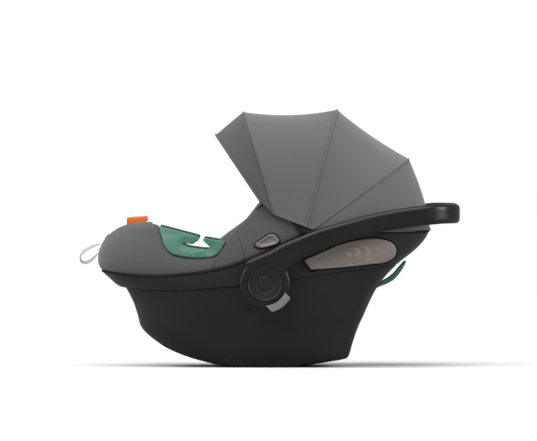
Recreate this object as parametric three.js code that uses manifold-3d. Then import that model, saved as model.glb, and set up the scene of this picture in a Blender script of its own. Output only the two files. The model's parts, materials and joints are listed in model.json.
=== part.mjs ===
// Infant car seat with carry handle, folding canopy, belt guides and fold-out side protectors.
// Millimetres, +Z up, +X towards the head end, -Y the near side. The origin is on the floor,
// under the middle of the object's box.
import * as THREE from "three";
import { mergeVertices } from "three/addons/utils/BufferGeometryUtils.js";
import Module from "manifold-3d";

const wasm = await Module();
wasm.setup();

// ---------- driving dimensions ----------
const WALL = 4; // moulded shell wall
const GAP = 0.4; // between pieces that meet
const RING_POINTS = 24; // corners of one horizontal slice of a shell
const FAR = 400; // reach of a cutting prism past the object
const SIDES = [
  { name: "near", s: -1 },
  { name: "far", s: 1 },
];

const COVER = 8.4; // thickness of the padded cover outside the shell
const UPSTAND = 9; // how far inside the cover the shell's upstand stands
const LINER = 12; // thickness of the padded cover inside the seat
const FOAM = 14; // energy-absorbing foam under the liner

const HUB = { x: -7, z: 163, radius: 49.5, inner: 198, outer: 219 }; // carry handle pivot
const AXLE_RADIUS = 7.5;
const CAP = { radius: 33.6, thickness: 7 };
const BUTTON = { inner: 41, outer: 56, from: -88, to: -24, low: 203.6, high: 218.4 };
const ARM = { height: 38, thickness: 22, y: 209, bend: 62, endX: 357.5 };
const CANOPY = { x: 68, z: 254, reach: 246, power: 3.4 }; // canopy hinge and hoop height
const HOOPS = [
  { name: "canopy_front_hoop", angle: 121.6, y: 186.7 },
  { name: "canopy_middle_hoop", angle: 75, y: 189.5 },
  { name: "canopy_rear_hoop", angle: 36, y: 192.3 },
];
const BACKREST = { x: 95, z: 100, slope: 43 }; // lowest point of the reclined back, degrees

// Slices of the outer surfaces: height, foot end, head end, half width, roundness at each end.
const LOWER_ROWS = [
  [0, -62, 56, 118, 7, 7],
  [3, -92, 74, 121, 6.5, 6.5],
  [9, -119, 112, 124, 6, 6],
  [17, -150, 152.5, 128, 5, 5.5],
  [41, -206, 161, 137, 3.6, 5],
  [80, -248.5, 175, 152, 2.9, 4.6],
  [122, -261, 194, 166, 2.7, 4.4],
  [153, -277, 210, 174, 2.6, 4.6],
  [182, -300, 232, 179, 2.6, 5.2],
  [208, -312, 260, 181, 2.6, 6],
];
const UPPER_ROWS = [
  [140, -280, 203, 174, 2.5, 5],
  [157, -292, 213, 178, 2.5, 5.2],
  [184, -323, 233.5, 182, 2.5, 5.6],
  [205, -329.5, 256, 183.5, 2.5, 6],
  [231, -325, 288, 184, 2.5, 6],
  [256, -308, 307.5, 184, 2.5, 6],
  [266, -295, 311.5, 184, 2.6, 6],
  [275, -275, 313, 184, 2.8, 6],
  [282, -236, 314, 184, 3.2, 6],
  [345, -236, 314, 183, 3.2, 6],
];
const CAVITY_ROWS = [
  [62, -70, 45, 80, 3, 4],
  [75, -130, 70, 100, 3, 4.5],
  [100, -190, 95, 118, 2.8, 5],
  [140, -238, 140, 132, 2.7, 6],
  [180, -268, 185, 142, 2.7, 6.5],
  [220, -285, 228, 148, 2.7, 7],
  [263, -268, 270, 150, 2.8, 7],
  [300, -240, 290, 151, 3, 7],
  [380, -240, 300, 152, 3, 7],
];

// Lines of the side view, as x, z pairs.
const PARTING = [
  [-FAR, 153], [-277, 152.5], [-240, 148.5], [-194, 147.4], [-135, 150.5], [-57, 157],
  [41, 170], [140, 184], [192, 190], [233, 196], [FAR, 197],
];
const RIM = [
  [-FAR, 188], [-322, 184], [-303, 181], [-261, 176.5], [-213, 175], [-156, 179], [-114, 185],
  [-72, 195], [-42, 206], [-6, 222], [28, 238], [62, 251], [100, 259], [140, 262], [FAR, 262],
];
const GUIDE_FOOT = [
  [-208.5, 259], [-202, 238], [-194, 225], [-185, 218.5], [-166, 213.5], [-139, 211],
  [-114, 212], [-101, 215.7], [-92.5, 225],
];
const COVER_TOP = [
  [-FAR, 284], [-222, 282], [-211, 274], ...GUIDE_FOOT, [-81, 245], [-63, 265], [-8, 314],
  [15, 330], [40, 336], [70, 334], [110, 318], [150, 296], [190, 275], [215, 270], [FAR, 270],
];
const GUIDE_OUTLINE = [
  [-211, 274], ...GUIDE_FOOT.map(([x, z]) => [x, z + 1]), [-82, 243.5], [-125.5, 251.5],
  [-126.5, 244], [-111.5, 233.5], [-111, 228.5], [-126, 228.5], [-154, 233], [-166.5, 241],
  [-156, 239.5], [-146, 237.5], [-140, 242.5], [-133.5, 247.5], [-132.5, 253.5],
];
const PROTECTOR_OUTLINE = [
  [82, 190], [140, 193.6], [192, 199], [227, 205], [238, 208.5], [244.5, 215], [246, 224],
  [242, 236], [233, 243.5], [221, 248.2], [208, 249.2], [192, 248], [174, 245.2], [140, 236.6],
  [105, 221.2], [68.5, 205.8],
];
const PROTECTOR_HINGE = { x: 79, z: 200.5, y: 180.5, lean: 36, pin: 34 };
const STROLLER_OUTLINE = [
  [-27, 238.5], [-24, 233], [-14, 230.5], [9, 236], [17, 240], [22, 246], [11.5, 258], [2, 258.5],
];
const REAR_HOOK = [
  [208, 150], [214, 154], [228, 159], [242, 167], [252, 177.5], [264, 194.5], [268, 205],
  [261, 204.5], [252, 193], [242, 180.8], [231, 172], [222.5, 167.5], [216, 161],
];
const STRAP_LINE = [
  [-327, 237], [-338, 234], [-349, 229], [-360, 222], [-366.5, 212.5], [-365, 203.5],
  [-357, 199.5], [-349, 201.5], [-339.5, 209.5], [-330.5, 219],
];

// ---------- solids ----------
const degrees = THREE.MathUtils.degToRad;

/** A closed geometry as a manifold solid. */
function solid(geometry) {
  const bare = geometry.clone();
  bare.deleteAttribute("normal");
  bare.deleteAttribute("uv");
  const merged = mergeVertices(bare, 1e-4);
  return new wasm.Manifold(
    new wasm.Mesh({
      numProp: 3,
      vertProperties: new Float32Array(merged.attributes.position.array),
      triVerts: new Uint32Array(merged.index.array),
    }),
  );
}

/** A manifold solid as a geometry. */
function geometryOf(body) {
  const mesh = body.getMesh();
  const geometry = new THREE.BufferGeometry();
  geometry.setAttribute("position", new THREE.BufferAttribute(mesh.vertProperties, 3));
  geometry.setIndex(new THREE.BufferAttribute(mesh.triVerts, 1));
  const flat = geometry.toNonIndexed();
  flat.computeVertexNormals();
  return flat;
}

/** A closed solid through rings of equally many points, with a flat cap on each end ring. */
function loft(rings) {
  const count = rings[0].length;
  const points = rings.flat();
  const faces = [];
  for (let r = 0; r + 1 < rings.length; r++)
    for (let i = 0; i < count; i++) {
      const a = r * count + i;
      const b = r * count + ((i + 1) % count);
      faces.push(a, b, b + count, a, b + count, a + count);
    }
  const last = (rings.length - 1) * count;
  for (let i = 1; i + 1 < count; i++) {
    faces.push(0, i + 1, i);
    faces.push(last, last + i, last + i + 1);
  }
  const geometry = new THREE.BufferGeometry().setFromPoints(points);
  geometry.setIndex(faces);
  const made = solid(geometry);
  if (made.volume() > 0) return made;
  for (let i = 0; i < faces.length; i += 3) [faces[i], faces[i + 1]] = [faces[i + 1], faces[i]];
  geometry.setIndex(faces);
  return solid(geometry);
}

/** One horizontal slice: a rounded outline, widest where its two halves meet. */
function slice([z, footX, headX, halfWidth, footPower, headPower], offset) {
  const middle = (footX + headX) / 2 - 10;
  const points = [];
  for (let i = 0; i < RING_POINTS; i++) {
    const turn = (2 * Math.PI * i) / RING_POINTS;
    const c = Math.cos(turn);
    const s = Math.sin(turn);
    const reach = (c < 0 ? middle - footX : headX - middle) + offset;
    const power = c < 0 ? footPower : headPower;
    const x = middle + Math.sign(c) * reach * Math.abs(c) ** (2 / power);
    const y = Math.sign(s) * (halfWidth + offset) * Math.abs(s) ** (2 / power);
    points.push(new THREE.Vector3(x, y, z));
  }
  return points;
}

/** The solid inside a stack of slices, grown or shrunk by offset. */
function hull(rows, offset = 0, drop = 0) {
  return loft(rows.map((row, i) => slice([row[0] - (i ? 0 : drop), ...row.slice(1)], offset)));
}

/** A side-view outline of x, z pairs, extruded from y = low to y = high. */
function prism(outline, low = -FAR, high = FAR) {
  const shape = new THREE.Shape(outline.map(([x, z]) => new THREE.Vector2(x, z)));
  const geometry = new THREE.ExtrudeGeometry(shape, { depth: high - low, bevelEnabled: false });
  geometry.rotateX(Math.PI / 2);
  geometry.translate(0, high, 0);
  return solid(geometry);
}

const lift = (line, dz) => line.map(([x, z]) => [x, z + dz]);
const below = (line) => prism([[-FAR, -FAR], [FAR, -FAR], ...[...line].reverse()]);
const above = (line) => prism([...line, [FAR, FAR + 200], [-FAR, FAR + 200]]);

/** The half of space on one side, past a distance from the middle plane. */
function sidePrism(outline, s, low = 60, high = FAR) {
  return s < 0 ? prism(outline, -high, -low) : prism(outline, low, high);
}

/** An outline grown away from its own middle. */
function grown(outline, by) {
  const cx = outline.reduce((sum, [x]) => sum + x, 0) / outline.length;
  const cz = outline.reduce((sum, [, z]) => sum + z, 0) / outline.length;
  return outline.map(([x, z]) => {
    const d = Math.hypot(x - cx, z - cz);
    return [x + ((x - cx) / d) * by, z + ((z - cz) / d) * by];
  });
}

/** A round bar across the seat at x, z, from |y| = low to |y| = high on side s. */
function bar(x, z, radius, low, high, s = 1, segments = 24) {
  const geometry = new THREE.CylinderGeometry(radius, radius, high - low, segments);
  geometry.translate(x, (s * (low + high)) / 2, z);
  return solid(geometry);
}

/** A sector of a ring round the carry handle's pivot, in the side view. */
function sector(inner, outer, from, to, steps = 8) {
  const at = (radius, turn) => [
    HUB.x + radius * Math.cos(degrees(turn)),
    HUB.z + radius * Math.sin(degrees(turn)),
  ];
  const turns = Array.from({ length: steps + 1 }, (_, i) => from + ((to - from) * i) / steps);
  return [...turns.map((t) => at(outer, t)), ...turns.reverse().map((t) => at(inner, t))];
}

/** A rounded box, built flat and placed by the caller. */
function roundedBox(width, height, depth, radius, steps = 3) {
  const w = width / 2 - radius;
  const h = height / 2 - radius;
  const shape = new THREE.Shape();
  shape.absarc(w, h, radius, 0, Math.PI / 2);
  shape.absarc(-w, h, radius, Math.PI / 2, Math.PI);
  shape.absarc(-w, -h, radius, Math.PI, 1.5 * Math.PI);
  shape.absarc(w, -h, radius, 1.5 * Math.PI, 2 * Math.PI);
  return new THREE.ExtrudeGeometry(shape, { depth, bevelEnabled: false, curveSegments: steps });
}

// ---------- materials ----------
const finish = (color, roughness) => new THREE.MeshStandardMaterial({ color, roughness });
const BLACK = finish(0x26272a, 0.55);
const DARK = finish(0x34353a, 0.6);
const COVER_GREY = finish(0x63666a, 0.95);
const LINING = finish(0x4b4d51, 0.95);
const GREEN = finish(0x68a389, 0.5);
const ORANGE = finish(0xe07b3e, 0.9);
const TAUPE = finish(0x7a736d, 0.7);
const SILVER_GREY = finish(0x96918f, 0.5);
const WEBBING = finish(0x2c2d30, 0.9);
const LOOP_WHITE = finish(0xdadada, 0.9);
const FOAM_WHITE = finish(0xe8e8e4, 0.95);
const RED = finish(0xb8232a, 0.5);
const STEEL = new THREE.MeshStandardMaterial({ color: 0xb4b6b8, roughness: 0.35, metalness: 1 });

const seat = new THREE.Group();

function add(name, geometry, material, parent = seat) {
  const mesh = new THREE.Mesh(geometry, material);
  mesh.name = name;
  parent.add(mesh);
  return mesh;
}
const addSolid = (name, body, material) => add(name, geometryOf(body), material);

// ---------- shells ----------
const CHANNEL = { half: 70, height: 24, from: -140, to: 128 }; // base recess under the seat

function lowerShell() {
  const outer = hull(LOWER_ROWS);
  const wall = outer.subtract(hull(LOWER_ROWS.map(([z, ...r]) => [z + WALL, ...r]), -WALL));
  const box = (half, top, from, to) => prism([[from, -5], [to, -5], [to, top], [from, top]], -half, half);
  const roof = box(
    CHANNEL.half + WALL, CHANNEL.height + WALL, CHANNEL.from - WALL, CHANNEL.to + WALL,
  );
  let made = wall
    .add(outer.intersect(roof))
    .subtract(box(CHANNEL.half, CHANNEL.height, CHANNEL.from, CHANNEL.to))
    .intersect(below(PARTING));
  for (const { s } of SIDES) made = made.subtract(bar(HUB.x, HUB.z, 42.6, 120, 230, s, 26));
  return made;
}

function protectorPin(s, radius, length) {
  const geometry = new THREE.CylinderGeometry(radius, radius, length, 16);
  geometry.rotateX(Math.PI / 2);
  geometry.rotateY(degrees(-PROTECTOR_HINGE.lean));
  geometry.translate(PROTECTOR_HINGE.x, s * PROTECTOR_HINGE.y, PROTECTOR_HINGE.z);
  return solid(geometry);
}

function upperShell() {
  const skin = (out, inner) => hull(UPPER_ROWS, out).subtract(hull(UPPER_ROWS, inner, 5));
  const band = skin(0, -WALL).intersect(below(RIM));
  const shelf = skin(0, -UPSTAND - WALL).intersect(below(RIM)).intersect(above(lift(RIM, -WALL)));
  const upstand = skin(-UPSTAND, -UPSTAND - WALL)
    .intersect(above(lift(RIM, -WALL)))
    .intersect(below(lift(COVER_TOP, -10)))
    .subtract(hull(CAVITY_ROWS, LINER + GAP));
  let made = band.add(shelf).add(upstand).intersect(above(lift(PARTING, GAP)));
  for (const { s } of SIDES) {
    const cup = bar(HUB.x, HUB.z, 42, 170.5, 197, s, 26)
      .subtract(bar(HUB.x, HUB.z, 37.5, 160, 193, s, 26))
      .add(bar(HUB.x, HUB.z, 13, 170.5, 194, s));
    const backing = skin(-WALL + 0.5, -10)
      .intersect(sidePrism(grown(PROTECTOR_OUTLINE, 9), s))
      .intersect(below(lift(RIM, -WALL + 1)))
      .intersect(above(lift(PARTING, GAP)));
    made = made
      .subtract(bar(HUB.x, HUB.z, 41, 150, 200, s, 26))
      .add(cup)
      .add(backing)
      .subtract(hull(UPPER_ROWS, 20).subtract(hull(UPPER_ROWS, -7)).intersect(
        sidePrism(grown(PROTECTOR_OUTLINE, 2.5), s)))
      .subtract(bar(HUB.x, HUB.z, AXLE_RADIUS + GAP, 150, 230, s))
      .subtract(protectorPin(s, 2.4, PROTECTOR_HINGE.pin + 1))
      .subtract(bar(CANOPY.x, CANOPY.z, 4.4, 165, 200, s, 16));
  }
  return made.subtract(adjusterPocket());
}

/** The room left inside both shells. */
const shellRoom = () =>
  loft([
    ...LOWER_ROWS.slice(0, 8).map(([z, ...r]) => slice([z + WALL + 2, ...r], -WALL - 2)),
    ...UPPER_ROWS.slice(1).map(([z, ...r], i) => slice([i ? z : z + 9, ...r], -UPSTAND - WALL - 1)),
  ]);

function foamLiner() {
  return hull(CAVITY_ROWS, LINER + FOAM, LINER + FOAM)
    .intersect(shellRoom())
    .subtract(hull(CAVITY_ROWS, LINER + GAP, LINER + GAP))
    .intersect(below(lift(COVER_TOP, -11)))
    .subtract(adjusterPocket());
}

function seatCover() {
  const cavity = hull(CAVITY_ROWS);
  const outside = hull(UPPER_ROWS)
    .subtract(hull(UPPER_ROWS, -COVER, 5))
    .intersect(above(lift(RIM, 1)))
    .intersect(below(COVER_TOP));
  const topRoll = hull(UPPER_ROWS)
    .subtract(cavity)
    .intersect(above(lift(COVER_TOP, -9.4)))
    .intersect(above(lift(RIM, 1)))
    .intersect(below(COVER_TOP));
  const body = hull([...LOWER_ROWS.slice(0, 7), ...UPPER_ROWS.slice(1)]);
  const inside = hull(CAVITY_ROWS, LINER, LINER)
    .subtract(cavity)
    .intersect(body)
    .intersect(below(COVER_TOP));
  let made = outside.add(topRoll).add(inside);
  for (const { s } of SIDES)
    made = made
      .subtract(sidePrism(grown(STROLLER_OUTLINE, 1.2), s, 172))
      .subtract(bar(CANOPY.x, CANOPY.z, 4.6, 172, 200, s, 16));
  return made.subtract(adjusterPocket());
}

// ---------- harness adjuster at the foot end ----------
const ADJUSTER = { x: -312, z: 250, width: 34, height: 15, tilt: 39 };

/** Turns a geometry that faces +Z so that it faces out of the foot end, and puts it at x, z. */
function placedOnFoot(geometry, x, z) {
  geometry.rotateZ(Math.PI / 2);
  geometry.rotateY(degrees(-90 + ADJUSTER.tilt));
  geometry.translate(x, 0, z);
  return geometry;
}

/** The opening through the cover that the adjuster sits in. */
function adjusterPocket() {
  const pocket = roundedBox(ADJUSTER.width + 3, ADJUSTER.height + 3, 30, 5);
  pocket.translate(0, 0, -11);
  return solid(placedOnFoot(pocket, ADJUSTER.x, ADJUSTER.z));
}

function adjusterBezel() {
  const outer = roundedBox(ADJUSTER.width + 2, ADJUSTER.height + 2, 9.5, 4.5);
  outer.translate(0, 0, -8.5);
  const hole = roundedBox(ADJUSTER.width - 4, ADJUSTER.height - 4, 20, 3);
  hole.translate(0, 0, -4.5);
  return solid(placedOnFoot(outer, ADJUSTER.x, ADJUSTER.z)).subtract(
    solid(placedOnFoot(hole, ADJUSTER.x, ADJUSTER.z)),
  );
}

function adjusterButton() {
  const button = roundedBox(ADJUSTER.width - 5, ADJUSTER.height - 5, 4.2, 2.6);
  button.translate(0, 0, -1);
  return placedOnFoot(button, ADJUSTER.x, ADJUSTER.z);
}

/** A ribbon that follows a side-view line, with square ends. */
function ribbon(line, thickness, low, high) {
  const side = (sign) =>
    line.map(([x, z], i) => {
      const [px, pz] = line[Math.max(0, i - 1)];
      const [nx, nz] = line[Math.min(line.length - 1, i + 1)];
      const d = Math.hypot(nx - px, nz - pz);
      const reach = (sign * thickness) / 2 / d;
      return [x - (nz - pz) * reach, z + (nx - px) * reach];
    });
  return prism([...side(1), ...side(-1).reverse()], low, high);
}

// ---------- patches on the shell's sides ----------
const patch = (outline, s, out, inner) =>
  hull(UPPER_ROWS, out).subtract(hull(UPPER_ROWS, inner, 5)).intersect(sidePrism(outline, s));

const protector = (s) =>
  patch(PROTECTOR_OUTLINE, s, 7, -4.5).subtract(
    protectorPin(s, 2.4, PROTECTOR_HINGE.pin + 10),
  );

// ---------- carry handle ----------
/** The arm's centre line in the side view, from the hub to the grip. */
const ARM_LINE = new THREE.SplineCurve(
  [
    [14, 196], [34, 216], [57, 230], [104, 249.5], [144, 262], [184, 272.5], [226, 282.5],
    [270, 290.5], [304, 294.8], [ARM.endX, 297],
  ].map(([x, z]) => new THREE.Vector2(x, z)),
);

/** Stations along the whole bow: centre, direction across the band, direction through it. */
function bowStations(armSteps = 11, bendSteps = 5) {
  const bendX = ARM.endX - ARM.bend;
  const half = [];
  for (let i = 0; i <= armSteps; i++) {
    const p = ARM_LINE.getPoint(i / armSteps);
    if (p.x < bendX - 8) half.push([p.x, -ARM.y, 0]);
  }
  for (let i = 0; i <= bendSteps; i++) {
    const turn = (Math.PI / 2) * (i / bendSteps);
    half.push([bendX + ARM.bend * Math.sin(turn), -ARM.y + ARM.bend * (1 - Math.cos(turn)), turn]);
  }
  const stations = half.map(([x, y, turn]) => {
    const p = pointAtX(x);
    const along = new THREE.Vector3(p.dx, 0, p.dz).normalize();
    const through = new THREE.Vector3(0, 1, 0)
      .multiplyScalar(Math.cos(turn))
      .addScaledVector(along, -Math.sin(turn));
    return {
      centre: new THREE.Vector3(x, y, p.z),
      across: new THREE.Vector3(-along.z, 0, along.x),
      through,
      height: p.height,
    };
  });
  const mirrored = stations
    .slice()
    .reverse()
    .map((st) => ({
      centre: st.centre.clone().multiply(new THREE.Vector3(1, -1, 1)),
      across: st.across.clone(),
      through: st.through.clone().multiply(new THREE.Vector3(1, -1, 1)),
      height: st.height,
    }));
  return [...stations, ...mirrored];
}

/** Height, slope and band height of the arm's centre line at x. */
function pointAtX(x) {
  let low = 0;
  let high = 1;
  for (let i = 0; i < 30; i++) {
    const middle = (low + high) / 2;
    if (ARM_LINE.getPoint(middle).x < x) low = middle;
    else high = middle;
  }
  const tangent = ARM_LINE.getTangent(low);
  const height = ARM.height + 8 * Math.max(0, 1 - (x - 14) / 110);
  return { z: ARM_LINE.getPoint(low).y, dx: tangent.x, dz: tangent.y, height };
}

/** The bow between two depths through its band: -half is the outside face. */
function bow(outside, inside, round = 6) {
  const rings = bowStations().map(({ centre, across, through, height }) => {
    const corner = (a, t) =>
      centre.clone().addScaledVector(across, a).addScaledVector(through, t);
    const h = height / 2;
    const cut = Math.min(round, (inside - outside) / 2.2);
    return [
      corner(-h, outside + cut), corner(-h, inside - 1), corner(-h + 1, inside),
      corner(h - 1, inside), corner(h, inside - 1), corner(h, outside + cut),
      corner(h - cut * 0.3, outside + cut * 0.3), corner(h - cut, outside),
      corner(-h + cut, outside), corner(-h + cut * 0.3, outside + cut * 0.3),
    ];
  });
  return loft(rings);
}

/** Adds one hub to the bow, with its wells for the cap, the axle, the locking disc and the button. */
function handleHub(made, s) {
  const ring = bar(HUB.x, HUB.z, HUB.radius, HUB.inner, HUB.outer, s, 30);
  const pocket = sidePrism(sector(36.5, 90, -99, -13, 6), s, 203, 214);
  const facing = sidePrism(sector(39, 90, -92, -20, 6), s, 203, HUB.outer + 5);
  return made
    .subtract(bar(HUB.x, HUB.z, HUB.radius - 4, 150, 260, s, 30))
    .add(ring)
    .subtract(pocket)
    .subtract(facing)
    .subtract(bar(HUB.x, HUB.z, 27.5, HUB.inner - 1, 205.5, s, 26))
    .subtract(bar(HUB.x, HUB.z, CAP.radius + 0.6, 214, 240, s, 30))
    .subtract(bar(HUB.x, HUB.z, 11.8, 212, 240, s))
    .subtract(bar(HUB.x, HUB.z, AXLE_RADIUS + GAP, 150, 240, s));
}

/** The outer half of the handle, with both hubs. */
function handleBow() {
  const half = ARM.thickness / 2;
  let made = bow(-half, half - 6.5);
  for (const { s } of SIDES) made = handleHub(made, s);
  return made;
}

/** The inner half, which closes the bow towards the seat. */
function handleInnerCover() {
  let made = bow(ARM.thickness / 2 - 6, ARM.thickness / 2);
  for (const { s } of SIDES) made = made.subtract(bar(HUB.x, HUB.z, HUB.radius + 1, 150, 260, s, 30));
  return made;
}

/** The locking disc: teeth that the handle's latch drops between. */
function lockDisc(s) {
  const teeth = 12;
  const outline = [];
  for (let i = 0; i < teeth; i++)
    for (const [share, radius] of [[0, 22], [0.25, 25], [0.5, 25], [0.75, 22]]) {
      const turn = (2 * Math.PI * (i + share)) / teeth;
      outline.push([HUB.x + radius * Math.cos(turn), HUB.z + radius * Math.sin(turn)]);
    }
  return sidePrism(outline, s, 197.5, 204.8).subtract(
    bar(HUB.x, HUB.z, AXLE_RADIUS + GAP, 190, 210, s),
  );
}

/** The release button: a wide foot held under the ring's rim and a narrower face outside it. */
const releaseButton = (s) =>
  sidePrism(sector(BUTTON.inner, 49, BUTTON.from - 7, BUTTON.to + 7), s, BUTTON.low, 213.6).add(
    sidePrism(sector(BUTTON.inner, BUTTON.outer, BUTTON.from, BUTTON.to), s, BUTTON.low, BUTTON.high),
  );

const axle = (s) =>
  bar(HUB.x, HUB.z, AXLE_RADIUS, 170, 213, s).add(bar(HUB.x, HUB.z, 11, 212.4, 213.8, s));

// ---------- canopy ----------
/** One arch from side to side: feet at base, top at crown, |y| up to halfWidth. */
function arch(base, crown, halfWidth, power = CANOPY.power, steps = 16) {
  return Array.from({ length: steps + 1 }, (_, i) => {
    const turn = (Math.PI * i) / steps;
    const c = Math.cos(turn);
    const rise = Math.sin(turn) ** (2 / power);
    return new THREE.Vector3(
      base[0] + (crown[0] - base[0]) * rise,
      -Math.sign(c) * halfWidth * Math.abs(c) ** (2 / power),
      base[1] + (crown[1] - base[1]) * rise,
    );
  });
}

const polar = (angle, radius) => [
  CANOPY.x + radius * Math.cos(degrees(angle)),
  CANOPY.z + radius * Math.sin(degrees(angle)),
];

/** A flat bow with an eye at each foot, bent in the plane at its angle. */
function hoop({ angle, y }) {
  const inner = arch([CANOPY.x, CANOPY.z], polar(angle, CANOPY.reach), y - 1.2);
  const outer = arch([CANOPY.x, CANOPY.z], polar(angle, CANOPY.reach + 3), y + 1.2);
  const sideways = new THREE.Vector3(-Math.sin(degrees(angle)), 0, Math.cos(degrees(angle)));
  const at = (p, by) => p.clone().addScaledVector(sideways, by);
  let made = loft(
    inner.map((p, i) => [at(p, -6), at(outer[i], -6), at(outer[i], 6), at(p, 6)]),
  );
  for (const { s } of SIDES)
    made = made
      .add(bar(CANOPY.x, CANOPY.z, 11, y - 1.2, y + 1.2, s))
      .subtract(bar(CANOPY.x, CANOPY.z, 4.4, y - 4, y + 4, s, 16));
  return made;
}

/** Cloth stretched straight between two arches, as a thin closed solid. */
function cloth(from, to, thickness = 1.6) {
  const grownArch = (a, by) => arch(a.base, pushed(a.base, a.crown, by), a.half + by, a.power);
  const rings = grownArch(from, 0).map((p, i) => [
    p, grownArch(from, thickness)[i], grownArch(to, thickness)[i], grownArch(to, 0)[i],
  ]);
  return loft(rings);
}

/** The crown of an arch moved away from its base. */
function pushed(base, crown, by) {
  const d = Math.hypot(crown[0] - base[0], crown[1] - base[1]);
  return [crown[0] + ((crown[0] - base[0]) / d) * by, crown[1] + ((crown[1] - base[1]) / d) * by];
}

const CLOTH_HALF = 195;
const ARCHES = {
  brimFront: { base: [-15, 320], crown: [-102, 449], half: CLOTH_HALF },
  brimTop: { base: [10, 296], crown: [-49, 493], half: CLOTH_HALF },
  panelFront: { base: [14, 295], crown: [-45, 487], half: CLOTH_HALF },
  middle: { base: polar(75, 18), crown: polar(75, 252), half: CLOTH_HALF },
  rear: { base: polar(36, 22), crown: polar(36, 252), half: CLOTH_HALF },
  rim: { base: [98, 273], crown: [314, 274], half: CLOTH_HALF, power: 4.2 },
};

// ---------- seat interior ----------
const along = new THREE.Vector3(Math.cos(degrees(BACKREST.slope)), 0, Math.sin(degrees(BACKREST.slope)));

/** Puts a geometry drawn with x across, y out of the back and z up the back onto the backrest. */
function onBackrest(geometry, up, out) {
  const place = new THREE.Matrix4().makeBasis(
    new THREE.Vector3(0, 1, 0),
    new THREE.Vector3(-along.z, 0, along.x),
    along,
  );
  place.setPosition(
    BACKREST.x + along.x * up - along.z * out, 0, BACKREST.z + along.z * up + along.x * out,
  );
  return geometry.applyMatrix4(place);
}

/** A headrest section: a back with two wings, between an outer and an inner outline. */
function headrestSection(half, wall, wing, length, flare = 14) {
  const shape = new THREE.Shape();
  shape.moveTo(-half - flare, wing);
  shape.quadraticCurveTo(-half - 2, 18, -half + 24, 0);
  shape.lineTo(half - 24, 0);
  shape.quadraticCurveTo(half + 2, 18, half + flare, wing);
  shape.lineTo(half + flare - wall, wing);
  shape.quadraticCurveTo(half - wall, 24, half - 28, wall);
  shape.lineTo(-half + 28, wall);
  shape.quadraticCurveTo(-half + wall, 24, -half - flare + wall, wing);
  return new THREE.ExtrudeGeometry(shape, { depth: length, bevelEnabled: false, curveSegments: 4 });
}

const HEADREST = { up: 62, out: 21, length: 135 };

/** The pull bar along the top edge of the headrest's shell. */
function headrestLever() {
  const bar = roundedBox(70, 7, 12, 3.2);
  bar.translate(0, 3.6, 0);
  return bar;
}

function inlay() {
  const body = hull(CAVITY_ROWS, -0.6, -0.6).subtract(hull(CAVITY_ROWS, -15, -16));
  return body.intersect(below([[-FAR, 128], [40, 128], [128, 150], [FAR, 160]]));
}

const BUCKLE = { x: -38, z: 118, tilt: 38 };

/** Turns a geometry drawn with z along the crotch strap to the buckle's place. */
function atBuckle(geometry) {
  geometry.rotateY(degrees(BUCKLE.tilt));
  geometry.translate(BUCKLE.x, 0, BUCKLE.z);
  return geometry;
}

/** A block at the buckle: width across, thickness, length up the strap, offset up and out. */
function buckleBlock(width, thickness, length, up, out, round = 4) {
  const g = roundedBox(thickness, width, length, Math.min(round, thickness / 2 - 0.1));
  g.translate(out, 0, up);
  return atBuckle(g);
}

/** The buckle, with the pocket that its button is pressed into. */
const buckleBody = () =>
  solid(buckleBlock(44, 17, 46, -14, 0, 6)).subtract(solid(buckleBlock(27, 12, 21, -6.5, -8.7, 1.8)));

/** A harness strap as a flat band through side-view points, leaning from y0 to y1. */
function harnessStrap(line, s, y0, y1, width, thickness) {
  const rings = line.map(([x, z], i) => {
    const [px, pz] = line[Math.max(0, i - 1)];
    const [nx, nz] = line[Math.min(line.length - 1, i + 1)];
    const d = Math.hypot(nx - px, nz - pz);
    const up = new THREE.Vector3(-(nz - pz) / d, 0, (nx - px) / d).multiplyScalar(thickness / 2);
    const middle = new THREE.Vector3(x, s * (y0 + ((y1 - y0) * i) / (line.length - 1)), z);
    const across = new THREE.Vector3(0, width / 2, 0);
    return [
      middle.clone().add(across).add(up), middle.clone().sub(across).add(up),
      middle.clone().sub(across).sub(up), middle.clone().add(across).sub(up),
    ];
  });
  return loft(rings);
}

const STRAP_PATH = [
  [-8, 159], [14, 167], [40, 171.5], [66, 172], [88, 169.5], [102, 165], [111, 160], [116.5, 154],
];
const PAD_PATH = STRAP_PATH.slice(1, 6).map(([x, z]) => [x, z + 6]);

// ---------- assembly ----------
addSolid("lower_shell", lowerShell(), BLACK);
addSolid("upper_shell", upperShell(), DARK);
addSolid("foam_liner", foamLiner(), FOAM_WHITE);
addSolid("seat_cover", seatCover(), COVER_GREY);
addSolid("newborn_inlay", inlay(), LINING);

for (const [name, x] of [["base_bar_foot", -112], ["base_bar_head", 100]]) {
  const geometry = new THREE.CylinderGeometry(5, 5, 2 * CHANNEL.half - 1, 16);
  geometry.translate(x, 0, 15);
  add(name, geometry, STEEL);
}

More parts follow.
